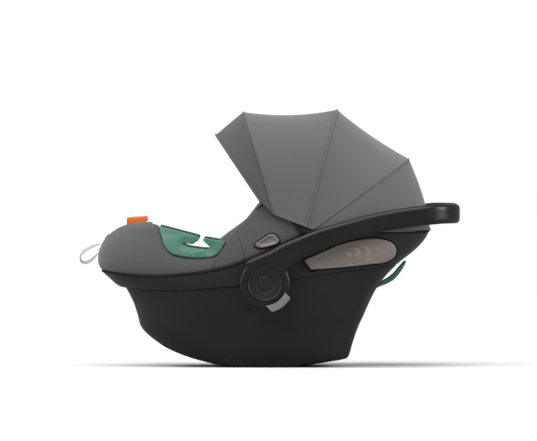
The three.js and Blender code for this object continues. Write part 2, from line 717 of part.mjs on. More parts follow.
for (const { name, s } of SIDES) {
  addSolid(`belt_guide_${name}`, patch(GUIDE_OUTLINE, s, 2, -22), GREEN);
  addSolid(`side_protector_${name}`, protector(s), TAUPE);
  addSolid(`protector_pin_${name}`, protectorPin(s, 2, PROTECTOR_HINGE.pin), STEEL);
  addSolid(`stroller_release_button_${name}`, patch(STROLLER_OUTLINE, s, 3, -4), SILVER_GREY);
  addSolid(`handle_axle_${name}`, axle(s), STEEL);
  addSolid(`handle_lock_disc_${name}`, lockDisc(s), STEEL);
  addSolid(`hub_cap_${name}`, bar(HUB.x, HUB.z, CAP.radius, 214.4, 214.4 + CAP.thickness, s, 30), DARK);
  addSolid(`handle_release_button_${name}`, releaseButton(s), SILVER_GREY);
  addSolid(
    `release_leaf_spring_${name}`, sidePrism(sector(36.7, 36.7 + 0.9, -78, -34, 5), s, 206, 212), STEEL,
  );
  addSolid(
    `canopy_rivet_${name}`,
    bar(CANOPY.x, CANOPY.z, 4, 176, 195, s, 16).add(bar(CANOPY.x, CANOPY.z, 8, 193.9, 195.2, s, 20)),
    STEEL,
  );
}
addSolid("rear_belt_guide", prism(REAR_HOOK, -42, 42).subtract(hull(LOWER_ROWS, GAP)), GREEN);
addSolid("handle_bow", handleBow(), BLACK);
addSolid("handle_inner_cover", handleInnerCover(), BLACK);

for (const spec of HOOPS) addSolid(spec.name, hoop(spec), BLACK);
addSolid("canopy_brim", cloth(ARCHES.brimFront, ARCHES.brimTop), COVER_GREY);
addSolid("canopy_front_panel", cloth(ARCHES.panelFront, ARCHES.middle), COVER_GREY);
addSolid("canopy_middle_panel", cloth(ARCHES.middle, ARCHES.rear), COVER_GREY);
addSolid("canopy_rear_panel", cloth(ARCHES.rear, ARCHES.rim), COVER_GREY);

addSolid("adjuster_bezel", adjusterBezel(), BLACK);
add("adjuster_button", adjusterButton(), SILVER_GREY);
addSolid("adjuster_strap_loop", ribbon(STRAP_LINE, 1.6, -7, 7), LOOP_WHITE);
addSolid("label_tag", prism([[-273, 277], [-255, 280.2], [-234, 283], [-234, 292], [-273, 288.5]], -0.8, 0.8), ORANGE);

add("headrest_shell", onBackrest(headrestSection(112, 5, 88, HEADREST.length), HEADREST.up, HEADREST.out), BLACK);
add(
  "headrest_lever",
  onBackrest(headrestLever(), HEADREST.up + HEADREST.length + 0.5, HEADREST.out + 0.5),
  SILVER_GREY,
);
add(
  "headrest_cushion",
  onBackrest(headrestSection(106.2, 17, 86, HEADREST.length - 4, 14), HEADREST.up + 2, HEADREST.out + 5.8),
  LINING,
);
addSolid("buckle_body", buckleBody(), BLACK);
add("buckle_button", buckleBlock(26, 6, 20, -6, -8.3, 1.8), RED);
add("crotch_strap", buckleBlock(30, 3, 34, -49, 0, 1.4), WEBBING);
for (const { name, s } of SIDES) {
  const tongue = roundedBox(3, 15, 13, 1.4);
  tongue.translate(0, s * 11, 32.5);
  add(`buckle_tongue_${name}`, atBuckle(tongue), STEEL);
  addSolid(`shoulder_strap_${name}`, harnessStrap(STRAP_PATH, s, 16, 52, 30, 2), WEBBING);
  addSolid(`shoulder_pad_${name}`, harnessStrap(PAD_PATH, s, 23, 44, 46, 7), LINING);
}

export default seat;
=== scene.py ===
"""Looks of an infant car seat: shell, padded cover, carry handle, canopy, harness and guides.

Lengths are in millimetres in this file and become metres where a mesh is made. +X points to the
head end, -Y is the near side, and the origin is on the floor under the middle of the seat.
"""

import json
import logging
import math
from contextlib import contextmanager
from dataclasses import dataclass, field
from enum import Enum
from typing import Callable, Iterator, Sequence

import bmesh
import bpy
import numpy as np
from mathutils import Matrix, Vector


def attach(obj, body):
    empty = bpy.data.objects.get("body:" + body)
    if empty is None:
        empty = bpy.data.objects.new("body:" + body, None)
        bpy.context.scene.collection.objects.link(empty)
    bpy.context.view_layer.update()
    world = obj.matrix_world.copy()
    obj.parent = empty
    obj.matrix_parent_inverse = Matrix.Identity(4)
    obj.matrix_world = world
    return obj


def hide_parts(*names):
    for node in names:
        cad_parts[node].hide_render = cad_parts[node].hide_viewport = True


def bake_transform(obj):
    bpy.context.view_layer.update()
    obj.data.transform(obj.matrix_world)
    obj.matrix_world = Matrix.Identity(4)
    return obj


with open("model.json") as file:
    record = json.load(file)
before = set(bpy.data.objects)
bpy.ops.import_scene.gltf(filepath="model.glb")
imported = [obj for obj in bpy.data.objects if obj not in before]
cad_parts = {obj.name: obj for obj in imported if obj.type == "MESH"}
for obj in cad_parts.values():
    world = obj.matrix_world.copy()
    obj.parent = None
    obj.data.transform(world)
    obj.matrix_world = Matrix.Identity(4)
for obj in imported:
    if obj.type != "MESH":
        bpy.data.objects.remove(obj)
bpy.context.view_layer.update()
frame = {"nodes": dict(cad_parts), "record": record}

LOG = logging.getLogger("infant_seat")
MM = 0.001
Line = Callable[[np.ndarray], np.ndarray]
Pair = tuple[float, float]


class Side(Enum):
    """The two sides of the seat, by the sign of y."""

    NEAR = -1
    FAR = 1

    @property
    def word(self) -> str:
        """The side's name in node names."""
        return self.name.lower()


# ---------------------------------------------------------------- materials


def linear(colour: str, alpha: float = 1.0) -> tuple[float, float, float, float]:
    """Turns an sRGB hex value into a linear colour.

    Args:
        colour: Six hex digits.
        alpha: The colour's opacity.

    Returns:
        Red, green, blue and alpha.
    """
    parts = [int(colour[i : i + 2], 16) / 255 for i in (0, 2, 4)]
    return (*[p / 12.92 if p <= 0.04045 else ((p + 0.055) / 1.055) ** 2.4 for p in parts], alpha)


def add_node(
    tree: bpy.types.NodeTree, kind: str, settings: dict[str | int, object],
    links: dict[str | int, object],
) -> bpy.types.Node:
    """Adds one shader node.

    Args:
        tree: The node tree that gets it.
        kind: The node's type name.
        settings: Values by input name, or by attribute name.
        links: Output sockets by input name or number.

    Returns:
        The new node.
    """
    made = tree.nodes.new(kind)
    for name, value in settings.items():
        if isinstance(name, str) and hasattr(made, name):
            setattr(made, name, value)
        else:
            made.inputs[name].default_value = value
    for name, source in links.items():
        tree.links.new(source, made.inputs[name])
    return made


def blank_material(name: str) -> tuple[bpy.types.Material, bpy.types.NodeTree, bpy.types.Node]:
    """Makes a material with only a Principled shader and its output.

    Args:
        name: The material's name.

    Returns:
        The material, its node tree and its shader.
    """
    material = bpy.data.materials.new(name)
    material.use_nodes = True
    tree = material.node_tree
    tree.nodes.clear()
    shader = tree.nodes.new("ShaderNodeBsdfPrincipled")
    add_node(tree, "ShaderNodeOutputMaterial", {}, {"Surface": shader.outputs["BSDF"]})
    return material, tree, shader


@dataclass(frozen=True)
class Relief:
    """How a pattern tints and embosses a surface."""

    shares: Pair  # of the colour, at the pattern's low and high end
    strength: float
    distance: float
    stops: Pair = (0.0, 1.0)
    invert: bool = False

    def apply(
        self, shader: bpy.types.Node, colour: str, pattern: bpy.types.NodeSocket,
        height: bpy.types.NodeSocket,
    ) -> None:
        """Links the tint and the bump to a shader.

        Args:
            shader: The Principled shader.
            colour: The colour as sRGB hex digits.
            pattern: What mixes the two tones.
            height: What raises the surface.
        """
        tree = shader.id_data
        tint = add_node(tree, "ShaderNodeValToRGB", {}, {"Fac": pattern})
        for element, stop, share in zip(tint.color_ramp.elements, self.stops, self.shares):
            element.position = stop
            element.color = (*[min(1, c * share) for c in linear(colour)[:3]], 1)
        bump = add_node(
            tree,
            "ShaderNodeBump",
            {"Strength": self.strength, "Distance": self.distance, "invert": self.invert},
            {"Height": height},
        )
        tree.links.new(tint.outputs["Color"], shader.inputs["Base Color"])
        tree.links.new(bump.outputs["Normal"], shader.inputs["Normal"])


@dataclass(frozen=True)
class MouldedPlastic:
    """Injection-moulded polypropylene or ABS: even colour, a fine spark-eroded grain and soft gloss."""

    name: str
    colour: str
    roughness: float
    grain: float = 1.6  # spacing of the grain; a real 0.3 mm grain is too fine to show
    depth: float = 0.12  # strength of the grain's bump
    sheen_patches: float = 0.06  # how far handling changes the roughness
    gloss_level: float = 0.36  # how much of a smooth surface's gloss the grain leaves

    def make(self) -> bpy.types.Material:
        """Builds the material and returns it."""
        material, tree, shader = blank_material(self.name)
        shader.inputs["IOR"].default_value = 1.49
        shader.inputs["Specular IOR Level"].default_value = self.gloss_level
        where = add_node(tree, "ShaderNodeTexCoord", {}, {}).outputs["Object"]
        grain = add_node(
            tree,
            "ShaderNodeTexNoise",
            {"Scale": 1 / (self.grain * MM), "Detail": 2.0, "Roughness": 0.6},
            {"Vector": where},
        )
        wear = add_node(tree, "ShaderNodeTexNoise", {"Scale": 16.0, "Detail": 4.0}, {"Vector": where})
        gloss = add_node(
            tree,
            "ShaderNodeMapRange",
            {
                "From Min": 0.3,
                "From Max": 0.7,
                "To Min": self.roughness - self.sheen_patches,
                "To Max": self.roughness + self.sheen_patches,
            },
            {"Value": wear.outputs["Fac"]},
        )
        tree.links.new(gloss.outputs["Result"], shader.inputs["Roughness"])
        relief = Relief((0.9, 1.1), self.depth, 0.0004, (0.25, 0.75))
        relief.apply(shader, self.colour, grain.outputs["Fac"], grain.outputs["Fac"])
        return material


@dataclass(frozen=True)
class WovenCloth:
    """Polyester cover cloth: a melange of two greys in a plain weave, matt, with a faint sheen."""

    name: str
    colour: str
    thread: float = 2.6  # drawn spacing of the threads; the real 0.6 mm would not show
    contrast: float = 0.16  # how far the two yarns differ
    depth: float = 0.35  # strength of the weave's bump
    follows_surface: bool = True  # whether the piece has a UV map in metres

    def make(self) -> bpy.types.Material:
        """Builds the material and returns it."""
        material, tree, shader = blank_material(self.name)
        shader.inputs["Roughness"].default_value = 0.92
        shader.inputs["Specular IOR Level"].default_value = 0.2
        shader.inputs["Sheen Weight"].default_value = 0.25
        shader.inputs["Sheen Roughness"].default_value = 0.5
        places = add_node(tree, "ShaderNodeTexCoord", {}, {})
        where = places.outputs["UV" if self.follows_surface else "Object"]
        scale = math.pi / (10 * self.thread * MM)
        heights = []
        for direction in ("X", "Y") if self.follows_surface else ("X", "Z"):
            wave = add_node(
                tree,
                "ShaderNodeTexWave",
                {"bands_direction": direction, "Scale": scale, "Distortion": 0.3, "Detail": 1.0},
                {"Vector": where},
            )
            heights.append(wave.outputs["Fac"])
        weave = add_node(
            tree, "ShaderNodeMath", {"operation": "MULTIPLY"}, {0: heights[0], 1: heights[1]}
        )
        melange = add_node(
            tree,
            "ShaderNodeTexNoise",
            {"Scale": 1 / (2.0 * self.thread * MM), "Detail": 3.0, "Roughness": 0.7},
            {"Vector": places.outputs["Object"]},
        )
        blotch = add_node(
            tree,
            "ShaderNodeTexNoise",
            {"Scale": 9.0, "Detail": 2.0},
            {"Vector": places.outputs["Object"]},
        )
        mixed = add_node(
            tree,
            "ShaderNodeMath",
            {"operation": "MULTIPLY_ADD", 1: 0.35},
            {0: weave.outputs[0], 2: melange.outputs["Fac"]},
        )
        mixed_more = add_node(
            tree,
            "ShaderNodeMath",
            {"operation": "MULTIPLY_ADD", 1: 0.25},
            {0: blotch.outputs["Fac"], 2: mixed.outputs[0]},
        )
        relief = Relief((1 - self.contrast, 1 + self.contrast), self.depth, 0.0006, (0.4, 1.0))
        relief.apply(shader, self.colour, mixed_more.outputs[0], mixed.outputs[0])
        return material


@dataclass(frozen=True)
class Webbing:
    """Woven polyester webbing: tight ribs across its length and a slightly glossy yarn."""

    name: str
    colour: str
    rib: float = 2.2  # drawn spacing of the ribs; a real 1 mm rib would not show

    def make(self) -> bpy.types.Material:
        """Builds the material and returns it."""
        material, tree, shader = blank_material(self.name)
        shader.inputs["Roughness"].default_value = 0.7
        shader.inputs["Sheen Weight"].default_value = 0.15
        where = add_node(tree, "ShaderNodeTexCoord", {}, {}).outputs["UV"]
        ribs = add_node(
            tree,
            "ShaderNodeTexWave",
            {"bands_direction": "DIAGONAL", "Scale": math.pi / (10 * self.rib * MM)},
            {"Vector": where},
        )
        relief = Relief((0.82, 1.05), 0.4, 0.0005)
        relief.apply(shader, self.colour, ribs.outputs["Fac"], ribs.outputs["Fac"])
        return material


@dataclass(frozen=True)
class PlatedSteel:
    """Zinc-plated mild steel: pale, drawn along its length, with small scratches."""

    name: str
    colour: str = "B4B6B8"

    def make(self) -> bpy.types.Material:
        """Builds the material and returns it."""
        material, tree, shader = blank_material(self.name)
        shader.inputs["Base Color"].default_value = linear(self.colour)
        shader.inputs["Metallic"].default_value = 1.0
        where = add_node(tree, "ShaderNodeTexCoord", {}, {}).outputs["Object"]
        drawn = add_node(tree, "ShaderNodeMapping", {"Scale": (900, 25, 900)}, {"Vector": where})
        streaks = add_node(
            tree, "ShaderNodeTexNoise", {"Scale": 1.0, "Detail": 3.0}, {"Vector": drawn.outputs[0]}
        )
        gloss = add_node(
            tree,
            "ShaderNodeMapRange",
            {"To Min": 0.24, "To Max": 0.5},
            {"Value": streaks.outputs["Fac"]},
        )
        tree.links.new(gloss.outputs["Result"], shader.inputs["Roughness"])
        return material


@dataclass(frozen=True)
class FoamBeads:
    """Expanded polypropylene foam: beads a few millimetres across, pressed together, matt."""

    name: str
    colour: str

    def make(self) -> bpy.types.Material:
        """Builds the material and returns it."""
        material, tree, shader = blank_material(self.name)
        shader.inputs["Roughness"].default_value = 0.95
        where = add_node(tree, "ShaderNodeTexCoord", {}, {}).outputs["Object"]
        beads = add_node(tree, "ShaderNodeTexVoronoi", {"Scale": 220.0}, {"Vector": where})
        relief = Relief((1, 0.7), 0.3, 0.0006, invert=True)
        relief.apply(shader, self.colour, beads.outputs["Distance"], beads.outputs["Distance"])
        return material


class Wardrobe:
    """Every finish of the seat, made once and shared."""

    def __init__(self) -> None:
        """Makes the materials."""
        plastics = [
            MouldedPlastic("polypropylene_shell_black", "1E1E1F", 0.5),
            MouldedPlastic("polypropylene_band_black", "252526", 0.46),
            MouldedPlastic("abs_handle_black", "171718", 0.33, grain=1.2, depth=0.06),
            MouldedPlastic("abs_hub_cap_black", "1B1B1C", 0.4, grain=1.2, depth=0.06),
            # near-black, darker than the band: painted shade of the gaps at the cover's edge and round the
            # push buttons
            MouldedPlastic("rubber_gasket_black", "0C0C0D", 0.8),
            MouldedPlastic("abs_guide_green", "4B7A67", 0.4, grain=1.0, depth=0.04),
            MouldedPlastic("abs_protector_taupe", "857D77", 0.5, grain=1.0, depth=0.05),
            MouldedPlastic("abs_button_grey", "7B7673", 0.42, grain=1.0, depth=0.04),
            MouldedPlastic("abs_buckle_red", "B3202A", 0.3, grain=1.0, depth=0.03),
        ]
        cloths = [
            WovenCloth("polyester_cover_grey", "565657", thread=1.3, contrast=0.07, depth=0.15),
            WovenCloth("polyester_canopy_grey", "5F6060", thread=1.3, contrast=0.05, depth=0.12),
            WovenCloth("polyester_brim_grey", "525253", thread=1.3, contrast=0.05, depth=0.12),
            WovenCloth("jersey_lining_grey", "4A4B4E", contrast=0.2, follows_surface=False),
            WovenCloth("polyester_thread_dark", "2A2A2C", follows_surface=False),
            WovenCloth("satin_label_orange", "DF7438", thread=1.6, contrast=0.06, follows_surface=False),
        ]
        others = [
            Webbing("polyester_webbing_dark", "2B2C2F"),
            Webbing("polyester_webbing_light", "BDBDBD"),
            PlatedSteel("zinc_plated_steel"),
            PlatedSteel("black_oxide_steel", "26272A"),
            FoamBeads("polypropylene_foam_grey", "5A5B5C"),
        ]
        self.made = {finish.name: finish.make() for finish in [*plastics, *cloths, *others]}

    def __getitem__(self, name: str) -> bpy.types.Material:
        """The material of that name."""
        return self.made[name]


# ---------------------------------------------------------------- shapes


def smooth_through(points: Sequence[Pair]) -> Line:
    """A curve that passes through points without overshooting them.

    Args:
        points: Pairs in rising order of their first number.

    Returns:
        A function from the first number to the second.
    """
    xs, ys = (np.array(v, float) for v in zip(*points))
    steps = np.diff(ys) / np.diff(xs)
    slopes = np.concatenate([steps[:1], np.zeros(len(xs) - 2), steps[-1:]])
    same = steps[1:] * steps[:-1] > 0
    inner = np.zeros(len(xs) - 2)
    inner[same] = 2 / (1 / steps[1:][same] + 1 / steps[:-1][same])
    slopes[1:-1] = inner

    def value(x: np.ndarray) -> np.ndarray:
        """The curve's height at x."""
        x = np.clip(np.asarray(x, float), xs[0], xs[-1])
        i = np.clip(np.searchsorted(xs, x) - 1, 0, len(xs) - 2)
        width = xs[i + 1] - xs[i]
        t = (x - xs[i]) / width
        return (
            ys[i] * (2 * t**3 - 3 * t**2 + 1)
            + slopes[i] * width * (t**3 - 2 * t**2 + t)
            + ys[i + 1] * (3 * t**2 - 2 * t**3)
            + slopes[i + 1] * width * (t**3 - t**2)
        )

    return value


class Hull:
    """A rounded body given by horizontal slices, each widest where its two halves meet."""

    def __init__(self, rows: Sequence[Sequence[float]]) -> None:
        """Takes slices of height, foot end, head end, half width and the roundness of each end."""
        heights = [row[0] for row in rows]
        self.low, self.high = heights[0], heights[-1]
        self.curves = [smooth_through(list(zip(heights, column))) for column in list(zip(*rows))[1:]]

    def point(self, turn: np.ndarray, z: np.ndarray, offset: float | np.ndarray = 0.0) -> np.ndarray:
        """Points of the surface.

        Args:
            turn: Angle round the body in radians, 0 at the head end.
            z: Height.
            offset: How far outside the surface.

        Returns:
            Points, x, y and z last.
        """
        turn, z = np.broadcast_arrays(np.asarray(turn, float), np.asarray(z, float))
        foot, head, half, foot_power, head_power = (curve(z) for curve in self.curves)
        middle = (foot + head) / 2 - 10
        c, s = np.cos(turn), np.sin(turn)
        reach = np.where(c < 0, middle - foot, head - middle) + offset
        power = np.where(c < 0, foot_power, head_power)
        share = (np.abs(c) ** power + np.abs(s) ** power) ** (-1 / power)
        return np.stack([middle + reach * c * share, (half + offset) * s * share, z], -1)

    def half_width(self, x: np.ndarray, z: np.ndarray, offset: float | np.ndarray = 0.0) -> np.ndarray:
        """How far the surface is from the middle plane at x and z."""
        foot, head, half, foot_power, head_power = (curve(z) for curve in self.curves)
        middle = (foot + head) / 2 - 10
        reach = np.where(x < middle, middle - foot, head - middle) + offset
        power = np.where(x < middle, foot_power, head_power)
        share = np.clip(np.abs(x - middle) / reach, 0, 0.999)
        return (half + offset) * (1 - share**power) ** (1 / power)

    def level(self, turn: np.ndarray, line: Line, offset: float = 0.0) -> np.ndarray:
        """The height at which each meridian crosses a line of the side view."""
        low = np.full(len(turn), float(self.low))
        high = np.full(len(turn), float(self.high))
        for _ in range(40):
            middle = (low + high) / 2
            under = middle < line(self.point(turn, middle, offset)[:, 0])
            low, high = np.where(under, middle, low), np.where(under, high, middle)
        return (low + high) / 2


def make_mesh(name: str, points: np.ndarray, faces: Sequence[Sequence[int]]) -> bpy.types.Object:
    """A new object from points in millimetres and faces.

    Args:
        name: The object's name.
        points: One row for each vertex.
        faces: Vertex numbers of each face.

    Returns:
        The object, linked to the scene.
    """
    mesh = bpy.data.meshes.new(name)
    mesh.from_pydata([tuple(p) for p in np.asarray(points, float) * MM], [], [tuple(f) for f in faces])
    mesh.validate()
    made = bpy.data.objects.new(name, mesh)
    bpy.context.collection.objects.link(made)
    return made


def grid_faces(rows: int, columns: int, closed: bool, start: int = 0) -> list[tuple[int, ...]]:
    """The quads of a grid of vertices.

    Args:
        rows: How many rows of vertices.
        columns: How many vertices in a row.
        closed: Whether each row joins its own start.
        start: Number of the first vertex.

    Returns:
        Faces as vertex numbers.
    """
    faces = []
    for r in range(rows - 1):
        for i in range(columns if closed else columns - 1):
            a, b = start + r * columns + i, start + r * columns + (i + 1) % columns
            faces.append((a, b, b + columns, a + columns))
    return faces


def loft(name: str, rings: np.ndarray, ends: bool = True) -> bpy.types.Object:
    """A skin through closed rings.

    Args:
        name: The object's name.
        rings: Rings, then points in a ring, then x, y and z.
        ends: Whether both end rings are filled.

    Returns:
        The new object, its faces outwards.
    """
    count, size = rings.shape[:2]
    points = rings.reshape(-1, 3)
    faces = grid_faces(count, size, True)
    if ends:
        points = np.vstack([points, rings[0].mean(0), rings[-1].mean(0)])
        for i in range(size):
            j = (i + 1) % size
            faces.append((count * size, j, i))
            last = (count - 1) * size
            faces.append((count * size + 1, last + i, last + j))
    made = make_mesh(name, points, faces)
    face_outwards(made)
    return made


@contextmanager
def reshaping(piece: bpy.types.Object) -> Iterator[bmesh.types.BMesh]:
    """Opens a piece's mesh for changes and writes them back."""
    shape = bmesh.new()
    shape.from_mesh(piece.data)
    yield shape
    shape.to_mesh(piece.data)
    shape.free()


def face_outwards(piece: bpy.types.Object) -> None:
    """Merges doubles and recalculates the normals of a closed or bowl-shaped mesh."""
    with reshaping(piece) as shape:
        bmesh.ops.remove_doubles(shape, verts=shape.verts, dist=1e-6)
        bmesh.ops.recalc_face_normals(shape, faces=shape.faces)


def read_vertices(piece: bpy.types.Object, what: str = "co") -> np.ndarray:
    """The places, or the normals, of a piece's vertices, one in a row, in metres."""
    numbers = np.empty(len(piece.data.vertices) * 3)
    piece.data.vertices.foreach_get(what, numbers)
    return numbers.reshape(-1, 3)


def move_vertices(piece: bpy.types.Object, places: np.ndarray) -> None:
    """Puts a piece's vertices at new places, in metres."""
    piece.data.vertices.foreach_set("co", places.ravel())
    piece.data.update()


def select_only(piece: bpy.types.Object) -> None:
    """Makes one object the only selected and active one."""
    for other in bpy.context.selected_objects:
        other.select_set(False)
    piece.select_set(True)
    bpy.context.view_layer.objects.active = piece


def finish_with(piece: bpy.types.Object, kind: str, **settings: object) -> None:
    """Adds a modifier with its settings and applies it."""
    modifier = piece.modifiers.new(kind.lower(), kind)
    for name, value in settings.items():
        setattr(modifier, name, value)
    select_only(piece)
    bpy.ops.object.modifier_apply(modifier=modifier.name)


def melt(piece: bpy.types.Object, cell: float, passes: int) -> None:
    """Remeshes a piece in cells of that many millimetres and softens all its edges."""
    finish_with(piece, "REMESH", mode="VOXEL", voxel_size=cell * MM, use_smooth_shade=True)
    finish_with(piece, "SMOOTH", factor=0.5, iterations=passes)


def cut(piece: bpy.types.Object, *tools: bpy.types.Object, operation: str = "DIFFERENCE") -> None:
    """Cuts tools out of a piece, or joins them to it, and removes the tools."""
    for tool in tools:
        finish_with(piece, "BOOLEAN", object=tool, operation=operation, solver="EXACT")
        bpy.data.objects.remove(tool)


def smooth_by_angle(piece: bpy.types.Object, degrees: float = 40) -> None:
    """Shades a piece smooth except at edges sharper than the angle."""
    select_only(piece)
    bpy.ops.object.shade_smooth_by_angle(angle=math.radians(degrees))


def tube(name: str, path: np.ndarray, radius: float, closed: bool, sides: int = 10) -> bpy.types.Object:
    """A round bead along a path.

    Args:
        name: The object's name.
        path: Points in millimetres.
        radius: Of the bead.
        closed: Whether the path joins its own start.
        sides: Of the bead's section.

    Returns:
        The new object.
    """
    path = np.asarray(path, float)
    if closed:
        along = np.roll(path, -1, 0) - np.roll(path, 1, 0)
    else:
        along = np.gradient(path, axis=0)
    along /= np.linalg.norm(along, axis=1)[:, None]
    across = np.cross(along, [0.13, 0.21, 0.97])
    across /= np.linalg.norm(across, axis=1)[:, None]
    other = np.cross(along, across)
    turn = np.linspace(0, 2 * math.pi, sides, endpoint=False)
    rings = (
        path[:, None]
        + radius * np.cos(turn)[None, :, None] * across[:, None]
        + radius * np.sin(turn)[None, :, None] * other[:, None]
    )
    if not closed:
        return loft(name, rings)
    made = make_mesh(name, rings.reshape(-1, 3), ring_faces(len(path), sides))
    face_outwards(made)
    return made


def ring_faces(rows: int, columns: int) -> list[tuple[int, ...]]:
    """The quads of a grid that closes on itself both ways."""
    faces = grid_faces(rows, columns, True)
    last = (rows - 1) * columns
    return faces + [
        (last + i, last + (i + 1) % columns, (i + 1) % columns, i) for i in range(columns)
    ]


def cylinder(
    name: str, x: float, z: float, radius: float, low: float, high: float, side: Side, segments: int = 96
) -> bpy.types.Object:
    """A round bar across the seat.

    Args:
        name: The object's name.
        x: Its axis.
        z: Its axis.
        radius: Its radius.
        low: Distance of one end from the middle plane.
        high: Distance of the other end from the middle plane.
        side: The side that it is on.
        segments: Of its outline.

    Returns:
        The new object.
    """
    bpy.ops.mesh.primitive_cylinder_add(
        vertices=segments,
        radius=radius * MM,
        depth=(high - low) * MM,
        location=(x * MM, side.value * (low + high) / 2 * MM, z * MM),
        rotation=(math.pi / 2, 0, 0),
    )
    made = bpy.context.active_object
    made.name = name
    settle(made)
    return made


def settle(piece: bpy.types.Object) -> None:
    """Moves an object's place into its mesh."""
    select_only(piece)
    bpy.ops.object.transform_apply(location=True, rotation=True, scale=True)


def bevel(piece: bpy.types.Object, width: float, segments: int = 3, degrees: float = 35) -> None:
    """Rounds every edge sharper than the angle."""
    finish_with(
        piece,
        "BEVEL",
        width=width * MM,
        segments=segments,
        limit_method="ANGLE",
        angle_limit=math.radians(degrees),
        harden_normals=False,
    )


def surface_uv(piece: bpy.types.Object, places: np.ndarray) -> None:
    """Gives each vertex its place on the cloth, in metres, as the UV map."""
    layer = piece.data.uv_layers.new(name="cloth")
    numbers = np.empty(len(piece.data.loops), int)
    piece.data.loops.foreach_get("vertex_index", numbers)
    layer.data.foreach_set("uv", (places[numbers] * MM).ravel())


@dataclass
class Assembly:
    """A part of the seat that is built together."""

    wardrobe: Wardrobe

    def dress(
        self, piece: bpy.types.Object, finish: str, body: str, slot: str, *nodes: str,
        angle: float | None = None,
    ) -> None:
        """Gives a finished piece its looks and its place in the frame.

        Args:
            piece: The piece.
            finish: Name of its material.
            body: The body that it rides on.
            slot: Its material slot; not used.
            nodes: The CAD nodes that it stands for.
            angle: Edges sharper than this, in degrees, stay sharp; None leaves the shading.
        """
        if angle is not None:
            smooth_by_angle(piece, angle)
        piece.data.materials.clear()
        piece.data.materials.append(self.wardrobe[finish])
        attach(piece, body)
        if nodes:
            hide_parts(*nodes)
        LOG.info("%s: %d faces on %s", piece.name, len(piece.data.polygons), body)


TURNS = 256
ROUND = np.linspace(0, 2 * math.pi, TURNS, endpoint=False)

LOWER = Hull(
    [
        (0, -62, 56, 118, 7, 7),
        (3, -92, 74, 121, 6.5, 6.5),
        (9, -119, 112, 124, 6, 6),
        (17, -150, 152.5, 128, 5, 5.5),
        (28, -180, 158, 133, 4.2, 5.2),
        (41, -206, 161.5, 138, 3.6, 5),
        (80, -248.5, 175, 152, 2.9, 4.6),
        (99, -253.5, 184, 159, 2.8, 4.5),
        (122, -261, 194, 166, 2.7, 4.4),
        (153, -277, 210, 174, 2.6, 4.6),
        (182, -300, 232, 179, 2.6, 5.2),
        (208, -312, 260, 181, 2.6, 6),
    ]
)
UPPER = Hull(
    [
        (140, -278, 203, 174, 2.5, 5),
        (153, -284, 210.5, 177, 2.5, 5.1),
        (157, -292, 213, 178, 2.5, 5.2),
        (170, -307, 222, 180.5, 2.5, 5.4),
        (184, -322, 233.5, 182, 2.5, 5.6),
        (194, -328, 244, 183, 2.5, 5.8),
        (205, -330.5, 256, 183.5, 2.5, 6),
        (218, -329.5, 273, 184, 2.5, 6),
        (231, -325.5, 288, 184, 2.5, 6),
        (243, -319.5, 299, 184, 2.5, 6),
        (256, -308, 307.5, 184, 2.5, 6),
        (266, -295, 311.5, 184, 2.6, 6),
        (275, -275, 313, 184, 2.8, 6),
        (282, -236, 314, 184, 3.2, 6),
        (345, -236, 314, 183, 3.2, 6),
    ]
)
CAVITY = Hull(
    [
        (60, -72, 47, 82, 2.8, 4),
        (73, -131, 72, 102, 2.8, 4.5),
        (98, -186, 97, 119.5, 2.7, 5),
        (140, -222, 140, 132.5, 2.6, 5.5),
        (180, -236, 182, 141, 2.6, 5.5),
        (220, -238, 224, 146, 2.6, 6),
        (250, -228, 254, 149, 2.6, 6),
        (272, -213, 274, 150, 2.6, 6),
        (290, -205, 288, 151, 2.6, 6),
        (345, -205, 298, 152, 2.6, 6),
    ]
)
FAR_X = 400
PARTING = smooth_through(
    [(-FAR_X, 153), (-277, 152.5), (-240, 148.5), (-194, 147.4), (-135, 150.5), (-57, 157)]
    + [(41, 170), (140, 184), (192, 190), (233, 196), (FAR_X, 197)]
)
RIM = smooth_through(
    [(-FAR_X, 188), (-322, 184), (-303, 181), (-261, 176.5), (-213, 175), (-156, 179), (-114, 185)]
    + [(-72, 195), (-42, 206), (-6, 222), (28, 238), (62, 251), (100, 259), (140, 262), (FAR_X, 262)]
)
GUIDE_FOOT = [
    (-209.5, 262), (-202, 238), (-194, 225), (-185, 218.5), (-166, 213.5), (-139, 211),
    (-114, 212), (-101, 215.7), (-92.5, 225),
]
COVER_TOP = smooth_through(
    [(-FAR_X, 283), (-240, 282), (-222, 280.5), (-212, 275), *GUIDE_FOOT, (-86, 239), (-63, 267)]
    + [(-38, 295.5), (-18, 318), (8, 332), (40, 337), (70, 334), (110, 318), (150, 296), (190, 275)]
    + [(215, 269), (FAR_X, 268)]
)
LINING_TOP = smooth_through(
    [(-FAR_X, 281), (-215, 279), (-203, 270), (-194, 247), (-182, 230), (-166, 224), (-112, 224)]
    + [(-101, 229), (-90, 238), (-74, 253), (-40, 292), (-18, 316), (8, 331), (40, 336), (70, 333)]
    + [(110, 317), (150, 295), (190, 275), (215, 268), (FAR_X, 268)]
)
HUB = (-7.0, 163.0)
PIVOT = (68.0, 254.0)


